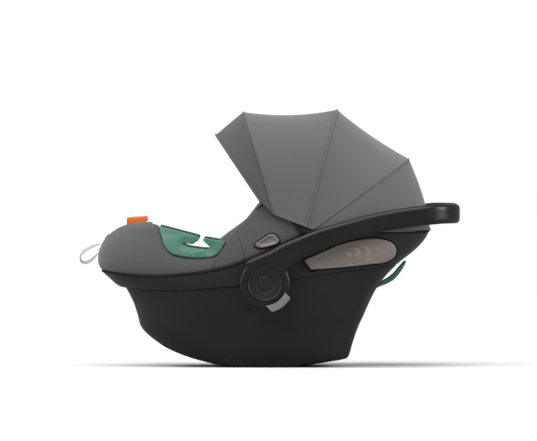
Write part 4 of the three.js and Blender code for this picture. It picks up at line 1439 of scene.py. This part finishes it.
@dataclass
class Canopy(Assembly):
    """The folding canopy: brim, three cloth panels, and the binding along each hoop."""

    steps: int = 120
    front: Arch = Arch((-15, 320), (-102, 449))
    brow: Arch = Arch((10, 296), (-49, 493))
    middle: Arch = Arch(from_pivot(75, 18), from_pivot(75, 252))
    rear: Arch = Arch(from_pivot(36, 22), from_pivot(36, 252))
    rim: Arch = Arch((96, 267), (313, 266), half=194, power=4.2)

    def cloth(
        self, name: str, start: Arch, stop: Arch, rows: int, sag: float
    ) -> tuple[bpy.types.Object, Pair, float]:
        """A panel stretched between two bows.

        Args:
            name: The object's name.
            start: The bow at its front edge.
            stop: The bow at its rear edge.
            rows: Rows of vertices across the panel.
            sag: How far the cloth hangs in between the bows; negative bulges.

        Returns:
            The panel, its flat width and length in metres, and its area in square metres.
        """
        turns = np.linspace(0, math.pi, self.steps)
        first, last = start.points(turns), stop.points(turns)
        rings = []
        for share in np.linspace(0, 1, rows):
            line = first * (1 - share) + last * share
            away = line - [PIVOT[0], 0, PIVOT[1]]
            away[:, 1] *= 0.25
            away /= np.linalg.norm(away, axis=1)[:, None]
            hang = sag * 4 * share * (1 - share) * np.sin(turns) ** 0.6
            ripple = 0.7 * np.sin(9 * turns + 5 * share) * np.sin(math.pi * share)
            rings.append(line - away * (hang + ripple)[:, None])
        rings = np.array(rings)
        panel = make_mesh(name, rings.reshape(-1, 3), grid_faces(rows, self.steps, False))
        around = lengths_along(rings[rows // 2])
        across = np.linalg.norm(np.diff(rings, axis=0), axis=2)
        depth = np.concatenate([np.zeros((1, self.steps)), np.cumsum(across, 0)])
        places = np.stack([np.tile(around, rows), depth.ravel()], -1)
        surface_uv(panel, places)
        shares = panel.data.attributes.new("across", "FLOAT", "POINT")
        values = np.repeat(np.linspace(0, 1, rows), self.steps).astype(np.float32)
        shares.data.foreach_set("value", values)
        area = sum(face.area for face in panel.data.polygons)
        face = panel.data.polygons[len(panel.data.polygons) // 2]
        centre = Vector((PIVOT[0] * MM, 0, PIVOT[1] * MM))
        if face.normal.dot(face.center - centre) < 0:
            panel.data.flip_normals()
        finish_with(panel, "SOLIDIFY", thickness=1.0 * MM, offset=-1)
        smooth_by_angle(panel, 60)
        arcs = rings[[0, rows // 2, -1]]
        longest = float(np.linalg.norm(np.diff(arcs, axis=1), axis=2).sum(1).max())
        flat = (longest * MM, float(depth[-1].max()) * MM)
        return panel, flat, area

    def blend_across(self, panel: bpy.types.Object, start_body: str, stop_body: str) -> None:
        """Lays a panel's vertices out along X by their share of the way across.

        The transform is baked while they are laid out, and then they are put back.
        """
        places = read_vertices(panel)
        shares = np.empty(len(places))
        panel.data.attributes["across"].data.foreach_get("value", shares)
        laid_out = np.zeros_like(places)
        laid_out[:, 0] = shares
        panel.data.vertices.foreach_set("co", laid_out.ravel())
        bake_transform(panel)
        move_vertices(panel, places)

    def hem(self) -> None:
        """The strip of cloth that closes the rim down onto the near-black shade bead along the shell's rim.
        """
        turns = np.linspace(0, math.pi, 240)
        edge = self.rim.points(turns)
        shell = UPPER.point(ROUND, np.full(TURNS, 262.0), -1.5)
        near = [shell[np.argmin(np.hypot(*(shell[:, :2] - place[:2]).T))] for place in edge]
        foot = np.array(near)
        for _ in range(6):
            foot[1:-1] = (foot[:-2] + 2 * foot[1:-1] + foot[2:]) / 4
        foot[:, 2] = 262.5
        reach = np.clip((edge[:, 0] - 112) / 45, 0, 1)[:, None]
        edge = foot + (edge - foot) * reach
        edge[:, 2] += 0.4 * (1 - reach[:, 0])
        rings = []
        for share in np.linspace(0, 1, 8):
            line = edge * (1 - share) + foot * share
            line[:, 2] -= 1.5 * math.sin(math.pi * share)
            rings.append(line)
        rings = np.array(rings)
        strip = make_mesh("rim_hem", rings.reshape(-1, 3), grid_faces(len(rings), len(turns), False))
        wide = float(np.sum(np.linalg.norm(np.diff(rings, axis=0), axis=2), axis=0).max())
        around = lengths_along(edge)
        down = np.repeat(np.linspace(0, wide, len(rings)), len(turns))
        surface_uv(strip, np.stack([np.tile(around, len(rings)), down], -1))
        finish_with(strip, "SOLIDIFY", thickness=1.0 * MM, offset=0)
        smooth_by_angle(strip, 60)
        self.dress(strip, "polyester_canopy_grey", "base", "canopy_grey")

    def build(self) -> None:
        """Makes the brim, the panels and the bindings."""
        turns = np.linspace(0, math.pi, 160)
        brim, flat, area = self.cloth("visor", self.front, self.brow, 14, 0.5)
        self.dress(brim, "polyester_brim_grey", "canopy_front", "canopy_grey", "canopy_brim")
        bodies = ("canopy_front", "canopy_middle", "canopy_rear", "base")
        panels = (
            ("front", self.brow, self.middle, 9.0),
            ("middle", self.middle, self.rear, 5.0),
            ("rear", self.rear, self.rim, -5.0),
        )
        for number, (word, start, stop, sag) in enumerate(panels):
            name, node = f"{word}_cloth", f"canopy_{word}_panel"
            start_body, stop_body = bodies[number : number + 2]
            panel, flat, area = self.cloth(name, start, stop, 26, sag)
            panel.data.materials.append(self.wardrobe["polyester_canopy_grey"])
            self.blend_across(panel, start_body, stop_body)
            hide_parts(node)
            LOG.info("%s: %d faces from %s to %s", name, len(panel.data.polygons), start_body, stop_body)
        self.hem()
        bindings = (
            ("visor_edge", self.front, 2.0, "canopy_front", "polyester_brim_grey"),
            ("visor_seam", self.brow, 1.3, "canopy_front", "polyester_brim_grey"),
            ("middle_binding", self.middle, 1.5, "canopy_middle", "polyester_canopy_grey"),
            ("rear_binding", self.rear, 1.5, "canopy_rear", "polyester_canopy_grey"),
            ("rim_binding", self.rim, 1.8, "base", "polyester_canopy_grey"),
        )
        for name, arch, radius, body, finish in bindings:
            bead = tube(name, arch.points(turns, 0.2), radius, False, 10)
            surface_uv(bead, np.zeros((len(bead.data.vertices), 2)))
            self.dress(bead, finish, body, "canopy_grey", angle=60)


@dataclass
class Harness(Assembly):
    """Inlay, headrest, straps, pads, buckle and the adjuster at the foot end."""

    slope: float = 43.0  # recline of the backrest
    foot: Pair = (95.0, 100.0)  # its lowest point
    strap: tuple[Pair, ...] = (
        (-8, 159), (14, 167), (40, 171.5), (66, 172), (88, 169.5), (102, 165), (111, 160), (116.5, 154),
    )
    crotch: tuple[Pair, ...] = ((-67.5, 80.5), (-59, 91.5), (-47.5, 106))
    loop_line: tuple[Pair, ...] = (
        (-327, 237), (-338, 234), (-349, 229), (-360, 222), (-366.5, 212.5), (-365, 203.5),
        (-357, 199.5), (-349, 201.5), (-339.5, 209.5), (-330.5, 219),
    )

    def headrest_form(
        self, name: str, half: float, wall: float, wing: float, length: float, up: float, out: float,
        squareness: float, pinch: float,
    ) -> bpy.types.Object:
        """The headrest's back with its two wings, as a closed form.

        Args:
            name: The object's name.
            half: Half its width at the back.
            wall: Thickness.
            wing: How far the wings stand out.
            length: Up the backrest.
            up: Its foot's place up the backrest.
            out: Its back's place out of the backrest.
            squareness: Of its section; 2 is an oval.
            pinch: How much thinner it is where wing and back meet.

        Returns:
            The new object.
        """

        def line(corner: float, bend: Pair, end: Pair, base: float) -> np.ndarray:
            """One face of the section: wing, back and wing, as places across and outwards."""
            t = np.linspace(0, 1, 22)[:, None]
            curve = np.array(end) * (1 - t) ** 2 + 2 * np.array(bend) * t * (1 - t)
            curve += np.array([corner, base]) * t**2
            back = np.stack([np.linspace(corner, -corner, 24), np.full(24, base)], -1)[1:-1]
            return np.vstack([curve, back, (curve * [-1, 1])[::-1]])

        outer = line(24 - half, (-half - 2, 18), (-half - 14, wing), 0)
        inner = line(28 - half, (wall - half, 24), (wall - half - 14, wing), wall)
        slope = math.radians(self.slope)
        along = np.array([math.cos(slope), math.sin(slope)])
        facing = np.array([-along[1], along[0]])
        turn = np.linspace(0, 2 * math.pi, 72, endpoint=False)
        c, s = np.cos(turn), np.sin(turn)
        reach = (np.abs(c) ** squareness + np.abs(s) ** squareness) ** (-1 / squareness)
        places = np.linspace(-1, 1, len(outer))
        rings = []
        for place, back, front in zip(places, outer, inner):
            tip = math.sqrt(max(0.0, 1 - max(0, (abs(place) - 0.9) / 0.1) ** 2)) * 0.96 + 0.04
            thin = tip * (1 - pinch * math.exp(-(((abs(place) - 0.42) / 0.06) ** 2)))
            middle, through = (back + front) / 2, (front - back) / 2 * thin
            tall = length / 2 * (1 - 0.16 * abs(place) ** 5) * (0.75 + 0.25 * tip)
            across = middle + through * (reach * c)[:, None]
            height = up + length / 2 + tall * reach * s
            outwards = out + across[:, 1]
            x = self.foot[0] + along[0] * height + facing[0] * outwards
            z = self.foot[1] + along[1] * height + facing[1] * outwards
            rings.append(np.stack([x, across[:, 0], z], -1))
        return loft(name, np.array(rings))

    def copy_of(self, node: str, name: str) -> bpy.types.Object:
        """A merged copy of a plain node, free to be worked on."""
        source = frame["nodes"][node]
        piece = source.copy()
        piece.data = source.data.copy()
        piece.name = name
        piece.parent = None
        piece.matrix_world = Matrix.Identity(4)
        for key in list(piece.keys()):
            del piece[key]
        bpy.context.collection.objects.link(piece)
        face_outwards(piece)
        return piece

    def stuffed(self, piece: bpy.types.Object, grow: float, cells: float = 5.0) -> bpy.types.Object:
        """Blows a closed form up into a stuffed piece by a cloth simulation.

        Args:
            piece: The form.
            grow: Cap on how far a point may swell.
            cells: Size of the remesh.

        Returns:
            The piece.
        """
        melt(piece, cells, 8)
        before = read_vertices(piece)
        swell(piece)
        move = read_vertices(piece) - before
        length = np.linalg.norm(move, axis=1)
        keep = np.minimum(1, grow * MM / np.maximum(length, 1e-9))
        move_vertices(piece, before + move * keep[:, None])
        finish_with(piece, "SMOOTH", factor=0.5, iterations=3)
        finish_with(piece, "SUBSURF", levels=1, render_levels=1)
        return piece

    def quilt(
        self, piece: bpy.types.Object, depth: float, width: float, *seams: tuple[int, float]
    ) -> None:
        """Sews channels across a stuffed piece.

        Args:
            piece: The piece.
            depth: How far a seam pulls the surface in.
            width: Of the valley.
            seams: For each, the axis number and the place on it, in millimetres.
        """
        places, normals = read_vertices(piece), read_vertices(piece, "normal")
        pulled = np.zeros(len(places))
        for axis, where in seams:
            pulled = np.maximum(pulled, np.exp(-(((places[:, axis] / MM - where) / width) ** 2)))
        pulled *= np.clip(normals[:, 2] * 2, 0, 1) * depth * MM
        move_vertices(piece, places - normals * pulled[:, None])

    def build(self) -> None:
        """Makes every piece inside the seat."""
        lining = "jersey_lining_grey"
        inlay = self.stuffed(self.copy_of("newborn_inlay", "inlay"), 2.0, 4.5)
        self.quilt(inlay, 2.2, 3.0, (1, -46), (1, 46), (0, -118), (0, 52))
        pad = self.headrest_form("headrest_pad", 104.5, 16, 83, 127, 66, 28.3, 3.6, 0.3)
        pad = self.stuffed(pad, 3.0, 4.0)
        padded = ((inlay, "newborn_inlay", "base"), (pad, "headrest_cushion", "headrest"))
        for piece, node, body in padded:
            self.dress(piece, lining, body, "lining_grey", node)
        shell = self.headrest_form("headrest_back", 112, 5, 88, 135, 62, 21, 9, 0)
        finish = "polypropylene_band_black"
        self.dress(shell, finish, "headrest", "shell_black", "headrest_shell", angle=40)
        for side in Side:
            node = f"shoulder_pad_{side.word}"
            cushion = self.stuffed(self.copy_of(node, f"strap_pad_{side.word}"), 3.0, 2.5)
            self.dress(cushion, lining, "base", "lining_grey", node)
            name, node = f"harness_strap_{side.word}", f"shoulder_strap_{side.word}"
            self.webbing(name, self.strap, (side.value * 16, side.value * 52), 30, 2, node)
        self.webbing("buckle_strap", self.crotch, (0, 0), 30, 3, "crotch_strap")
        self.small_parts()
        self.pull_loop()

    def ribbon(
        self, name: str, path: np.ndarray, edge: Sequence[Pair], sides: Pair = (0, 0),
        twists: np.ndarray | float = 0.0,
    ) -> bpy.types.Object:
        """A flat woven strap along a line of the side view.

        Args:
            name: The object's name.
            path: The strap's middle, as x and z.
            edge: Half of its section, as places across and up.
            sides: Its place across the seat at the line's two ends.
            twists: How far it is turned about its own line, at each point.

        Returns:
            The new object.
        """
        along = np.gradient(path, axis=0)
        along /= np.linalg.norm(along, axis=1)[:, None]
        section = [*edge, *[(y, -t) for y, t in reversed(edge)]]
        rings = []
        turns = np.broadcast_to(twists, len(path))
        for place, run, middle, twist in zip(path, along, np.linspace(*sides, len(path)), turns):
            c, s = math.cos(twist), math.sin(twist)
            rings.append(
                [
                    (
                        place[0] - run[1] * (t * c + y * s),
                        middle + y * c - t * s,
                        place[1] + run[0] * (t * c + y * s),
                    )
                    for y, t in section
                ]
            )
        strap = loft(name, np.array(rings))
        surface_uv(strap, (read_vertices(strap) / MM)[:, :2])
        return strap

    def webbing(
        self, name: str, line: Sequence[Pair], sides: Pair, width: float, thickness: float, node: str
    ) -> None:
        """A harness strap along a line, standing for a plain node."""
        half, thin = width / 2, thickness / 2
        edge = [(-half, 0.3 * thin), (-half + 0.8, thin), (0, thin * 0.9)]
        edge += [(half - 0.8, thin), (half, 0.3 * thin)]
        strap = self.ribbon(name, softened(line, 90, 14, False), edge, sides)
        self.dress(strap, "polyester_webbing_dark", "base", "webbing_dark", node, angle=50)

    def small_parts(self) -> None:
        """The buckle, tongues, adjuster and headrest lever, with the rounded edges of mouldings."""
        parts = (
            ("buckle_body", "buckle_case", "base", "abs_handle_black", "shell_black", 1.6),
            ("buckle_button", "buckle_press", "buckle_button", "abs_buckle_red", "buckle_red", 0.9),
            ("buckle_tongue_near", "tongue_near", "base", "zinc_plated_steel", "steel", 0.5),
            ("buckle_tongue_far", "tongue_far", "base", "zinc_plated_steel", "steel", 0.5),
            ("adjuster_bezel", "adjuster_frame", "base", "abs_handle_black", "shell_black", 0.7),
            ("adjuster_button", "adjuster_press", "adjuster_button", "abs_button_grey", "button_grey", 0.8),
            ("headrest_lever", "headrest_pull", "headrest_lever", "abs_button_grey", "button_grey", 1.2),
        )
        for node, name, body, finish, slot, width in parts:
            piece = self.copy_of(node, name)
            finish_with(piece, "DECIMATE", decimate_type="DISSOLVE", angle_limit=math.radians(1))
            bevel(piece, width, 3, 40)
            self.dress(piece, finish, body, slot, node, angle=35)

    def pull_loop(self) -> None:
        """The flat webbing loop that tightens the harness."""
        line = softened(self.loop_line, 60, 14, False)
        twists = -0.34 * np.sin(2 * math.pi * np.arange(len(line)) / (len(line) - 1))
        half, thin = 6.5, 0.85
        edge = [(-half, 0.4), (-half + 0.6, thin), (half - 0.6, thin), (half, 0.4)]
        loop = self.ribbon("pull_loop", line, edge, twists=twists)
        node = "adjuster_strap_loop"
        self.dress(loop, "polyester_webbing_light", "base", "webbing_light", node, angle=50)


def swell(piece: bpy.types.Object) -> None:
    """Blows a closed cloth up from inside for twenty frames and keeps the result."""
    cloth = piece.modifiers.new("cloth", "CLOTH")
    cloth.settings.use_pressure = True
    cloth.settings.uniform_pressure_force = 4
    cloth.settings.effector_weights.gravity = 0
    cloth.point_cache.frame_start, cloth.point_cache.frame_end = 1, 20
    for number in range(1, 21):
        bpy.context.scene.frame_set(number)
    select_only(piece)
    bpy.ops.object.modifier_apply(modifier=cloth.name)
    bpy.context.scene.frame_set(1)


def dress_frame(wardrobe: Wardrobe) -> None:
    """Gives every CAD node that stays in sight the finish of its slot."""
    finishes = {
        "shell_black": "polypropylene_shell_black",
        "band_black": "polypropylene_band_black",
        "handle_black": "abs_handle_black",
        "cover_grey": "polyester_thread_dark",
        "canopy_grey": "polyester_thread_dark",
        "lining_grey": "jersey_lining_grey",
        "foam_white": "polypropylene_foam_grey",
        "guide_green": "abs_guide_green",
        "tag_orange": "satin_label_orange",
        "protector_taupe": "abs_protector_taupe",
        "button_grey": "abs_button_grey",
        "webbing_dark": "polyester_thread_dark",
        "webbing_light": "polyester_thread_dark",
        "buckle_red": "abs_buckle_red",
        "steel": "zinc_plated_steel",
    }
    slots = {row["node"]: row["material_slot"] for row in frame["record"]["subparts"]}
    for name, node in frame["nodes"].items():
        node.data.materials.clear()
        rivet = name.startswith(("canopy_rivet", "protector_pin"))
        node.data.materials.append(wardrobe["black_oxide_steel" if rivet else finishes[slots[name]]])


@dataclass
class Studio:
    """A pale floor, soft lights and a long lens, level with the seat."""

    distance: float = 20.0
    elevation: float = 0.5
    width: float = 1.0418  # how much of the seat's plane the view is wide
    height: float = 0.2825  # height that the view is centred on
    surroundings: float = 0.3  # how bright the room is, next to the white paper
    bounce: float = 0.3  # how much of its light the paper throws back at the seat

    def build(self) -> None:
        """Sets up the floor, the lights, the world and the camera."""
        bpy.ops.mesh.primitive_circle_add(vertices=96, radius=60, fill_type="NGON")
        floor = bpy.context.active_object
        floor.name = "floor"
        material, tree, shader = blank_material("white_paper")
        shader.inputs["Roughness"].default_value = 0.9
        rays = add_node(tree, "ShaderNodeLightPath", {}, {})
        paper = add_node(tree, "ShaderNodeValToRGB", {}, {"Fac": rays.outputs["Is Camera Ray"]})
        for element, level in zip(paper.color_ramp.elements, (self.bounce, 0.93)):
            element.color = (level, level, level, 1)
        tree.links.new(paper.outputs["Color"], shader.inputs["Base Color"])
        floor.data.materials.append(material)
        world = bpy.data.worlds.new("studio")
        world.use_nodes = True
        tree = world.node_tree
        tree.nodes.clear()
        rays = add_node(tree, "ShaderNodeLightPath", {}, {})
        strength = add_node(
            tree,
            "ShaderNodeMapRange",
            {"To Min": self.surroundings, "To Max": 1.05},
            {"Value": rays.outputs["Is Camera Ray"]},
        )
        sky = add_node(
            tree,
            "ShaderNodeBackground",
            {"Color": (1, 1, 1, 1)},
            {"Strength": strength.outputs["Result"]},
        )
        add_node(tree, "ShaderNodeOutputWorld", {}, {"Surface": sky.outputs["Background"]})
        bpy.context.scene.world = world
        for name, kind, place, size, power in (
            ("overhead", "SUN", (-0.5, -0.75, 1.6), math.radians(70), 3.1),
            ("left_strip", "AREA", (-2.2, -0.9, 0.7), 1.2, 10),
            ("right_strip", "AREA", (1.9, -1.0, 0.8), 0.8, 22),
        ):
            light = bpy.data.lights.new(name, kind)
            light.energy = power
            if kind == "SUN":
                light.angle = size
            else:
                light.size = size
            lamp = bpy.data.objects.new(name, light)
            lamp.location = place
            aim = Vector((0, 0, 0.2)) - Vector(place)
            lamp.rotation_euler = aim.to_track_quat("-Z", "Y").to_euler()
            bpy.context.collection.objects.link(lamp)
        lens = bpy.data.cameras.new("long_lens")
        lens.sensor_width = 36
        lens.lens = 36 * self.distance / self.width
        lens.clip_end = 200
        camera = bpy.data.objects.new("camera", lens)
        tilt = math.radians(self.elevation)
        camera.location = (
            0,
            -self.distance * math.cos(tilt),
            self.height + self.distance * math.sin(tilt),
        )
        camera.rotation_euler = (math.pi / 2 - tilt, 0, 0)
        bpy.context.collection.objects.link(camera)
        bpy.context.scene.camera = camera
        bpy.context.scene.view_settings.view_transform = "Standard"


def main() -> None:
    """Builds the seat's looks and the studio round it."""
    logging.basicConfig(level=logging.INFO, format="%(message)s")
    for chosen in bpy.context.selected_objects:
        chosen.select_set(False)
    Studio().build()
    wardrobe = Wardrobe()
    dress_frame(wardrobe)
    protectors = SideProtectors(wardrobe)
    for assembly in (
        LowerShell(wardrobe),
        protectors,
        UpperShell(wardrobe, protectors),
        SeatCover(wardrobe),
        CarryHandle(wardrobe),
        BeltGuides(wardrobe),
        StrollerButtons(wardrobe),
        Canopy(wardrobe),
        Harness(wardrobe),
    ):
        assembly.build()
        LOG.info("%s is built", type(assembly).__name__)


if __name__ == "__main__":
    main()
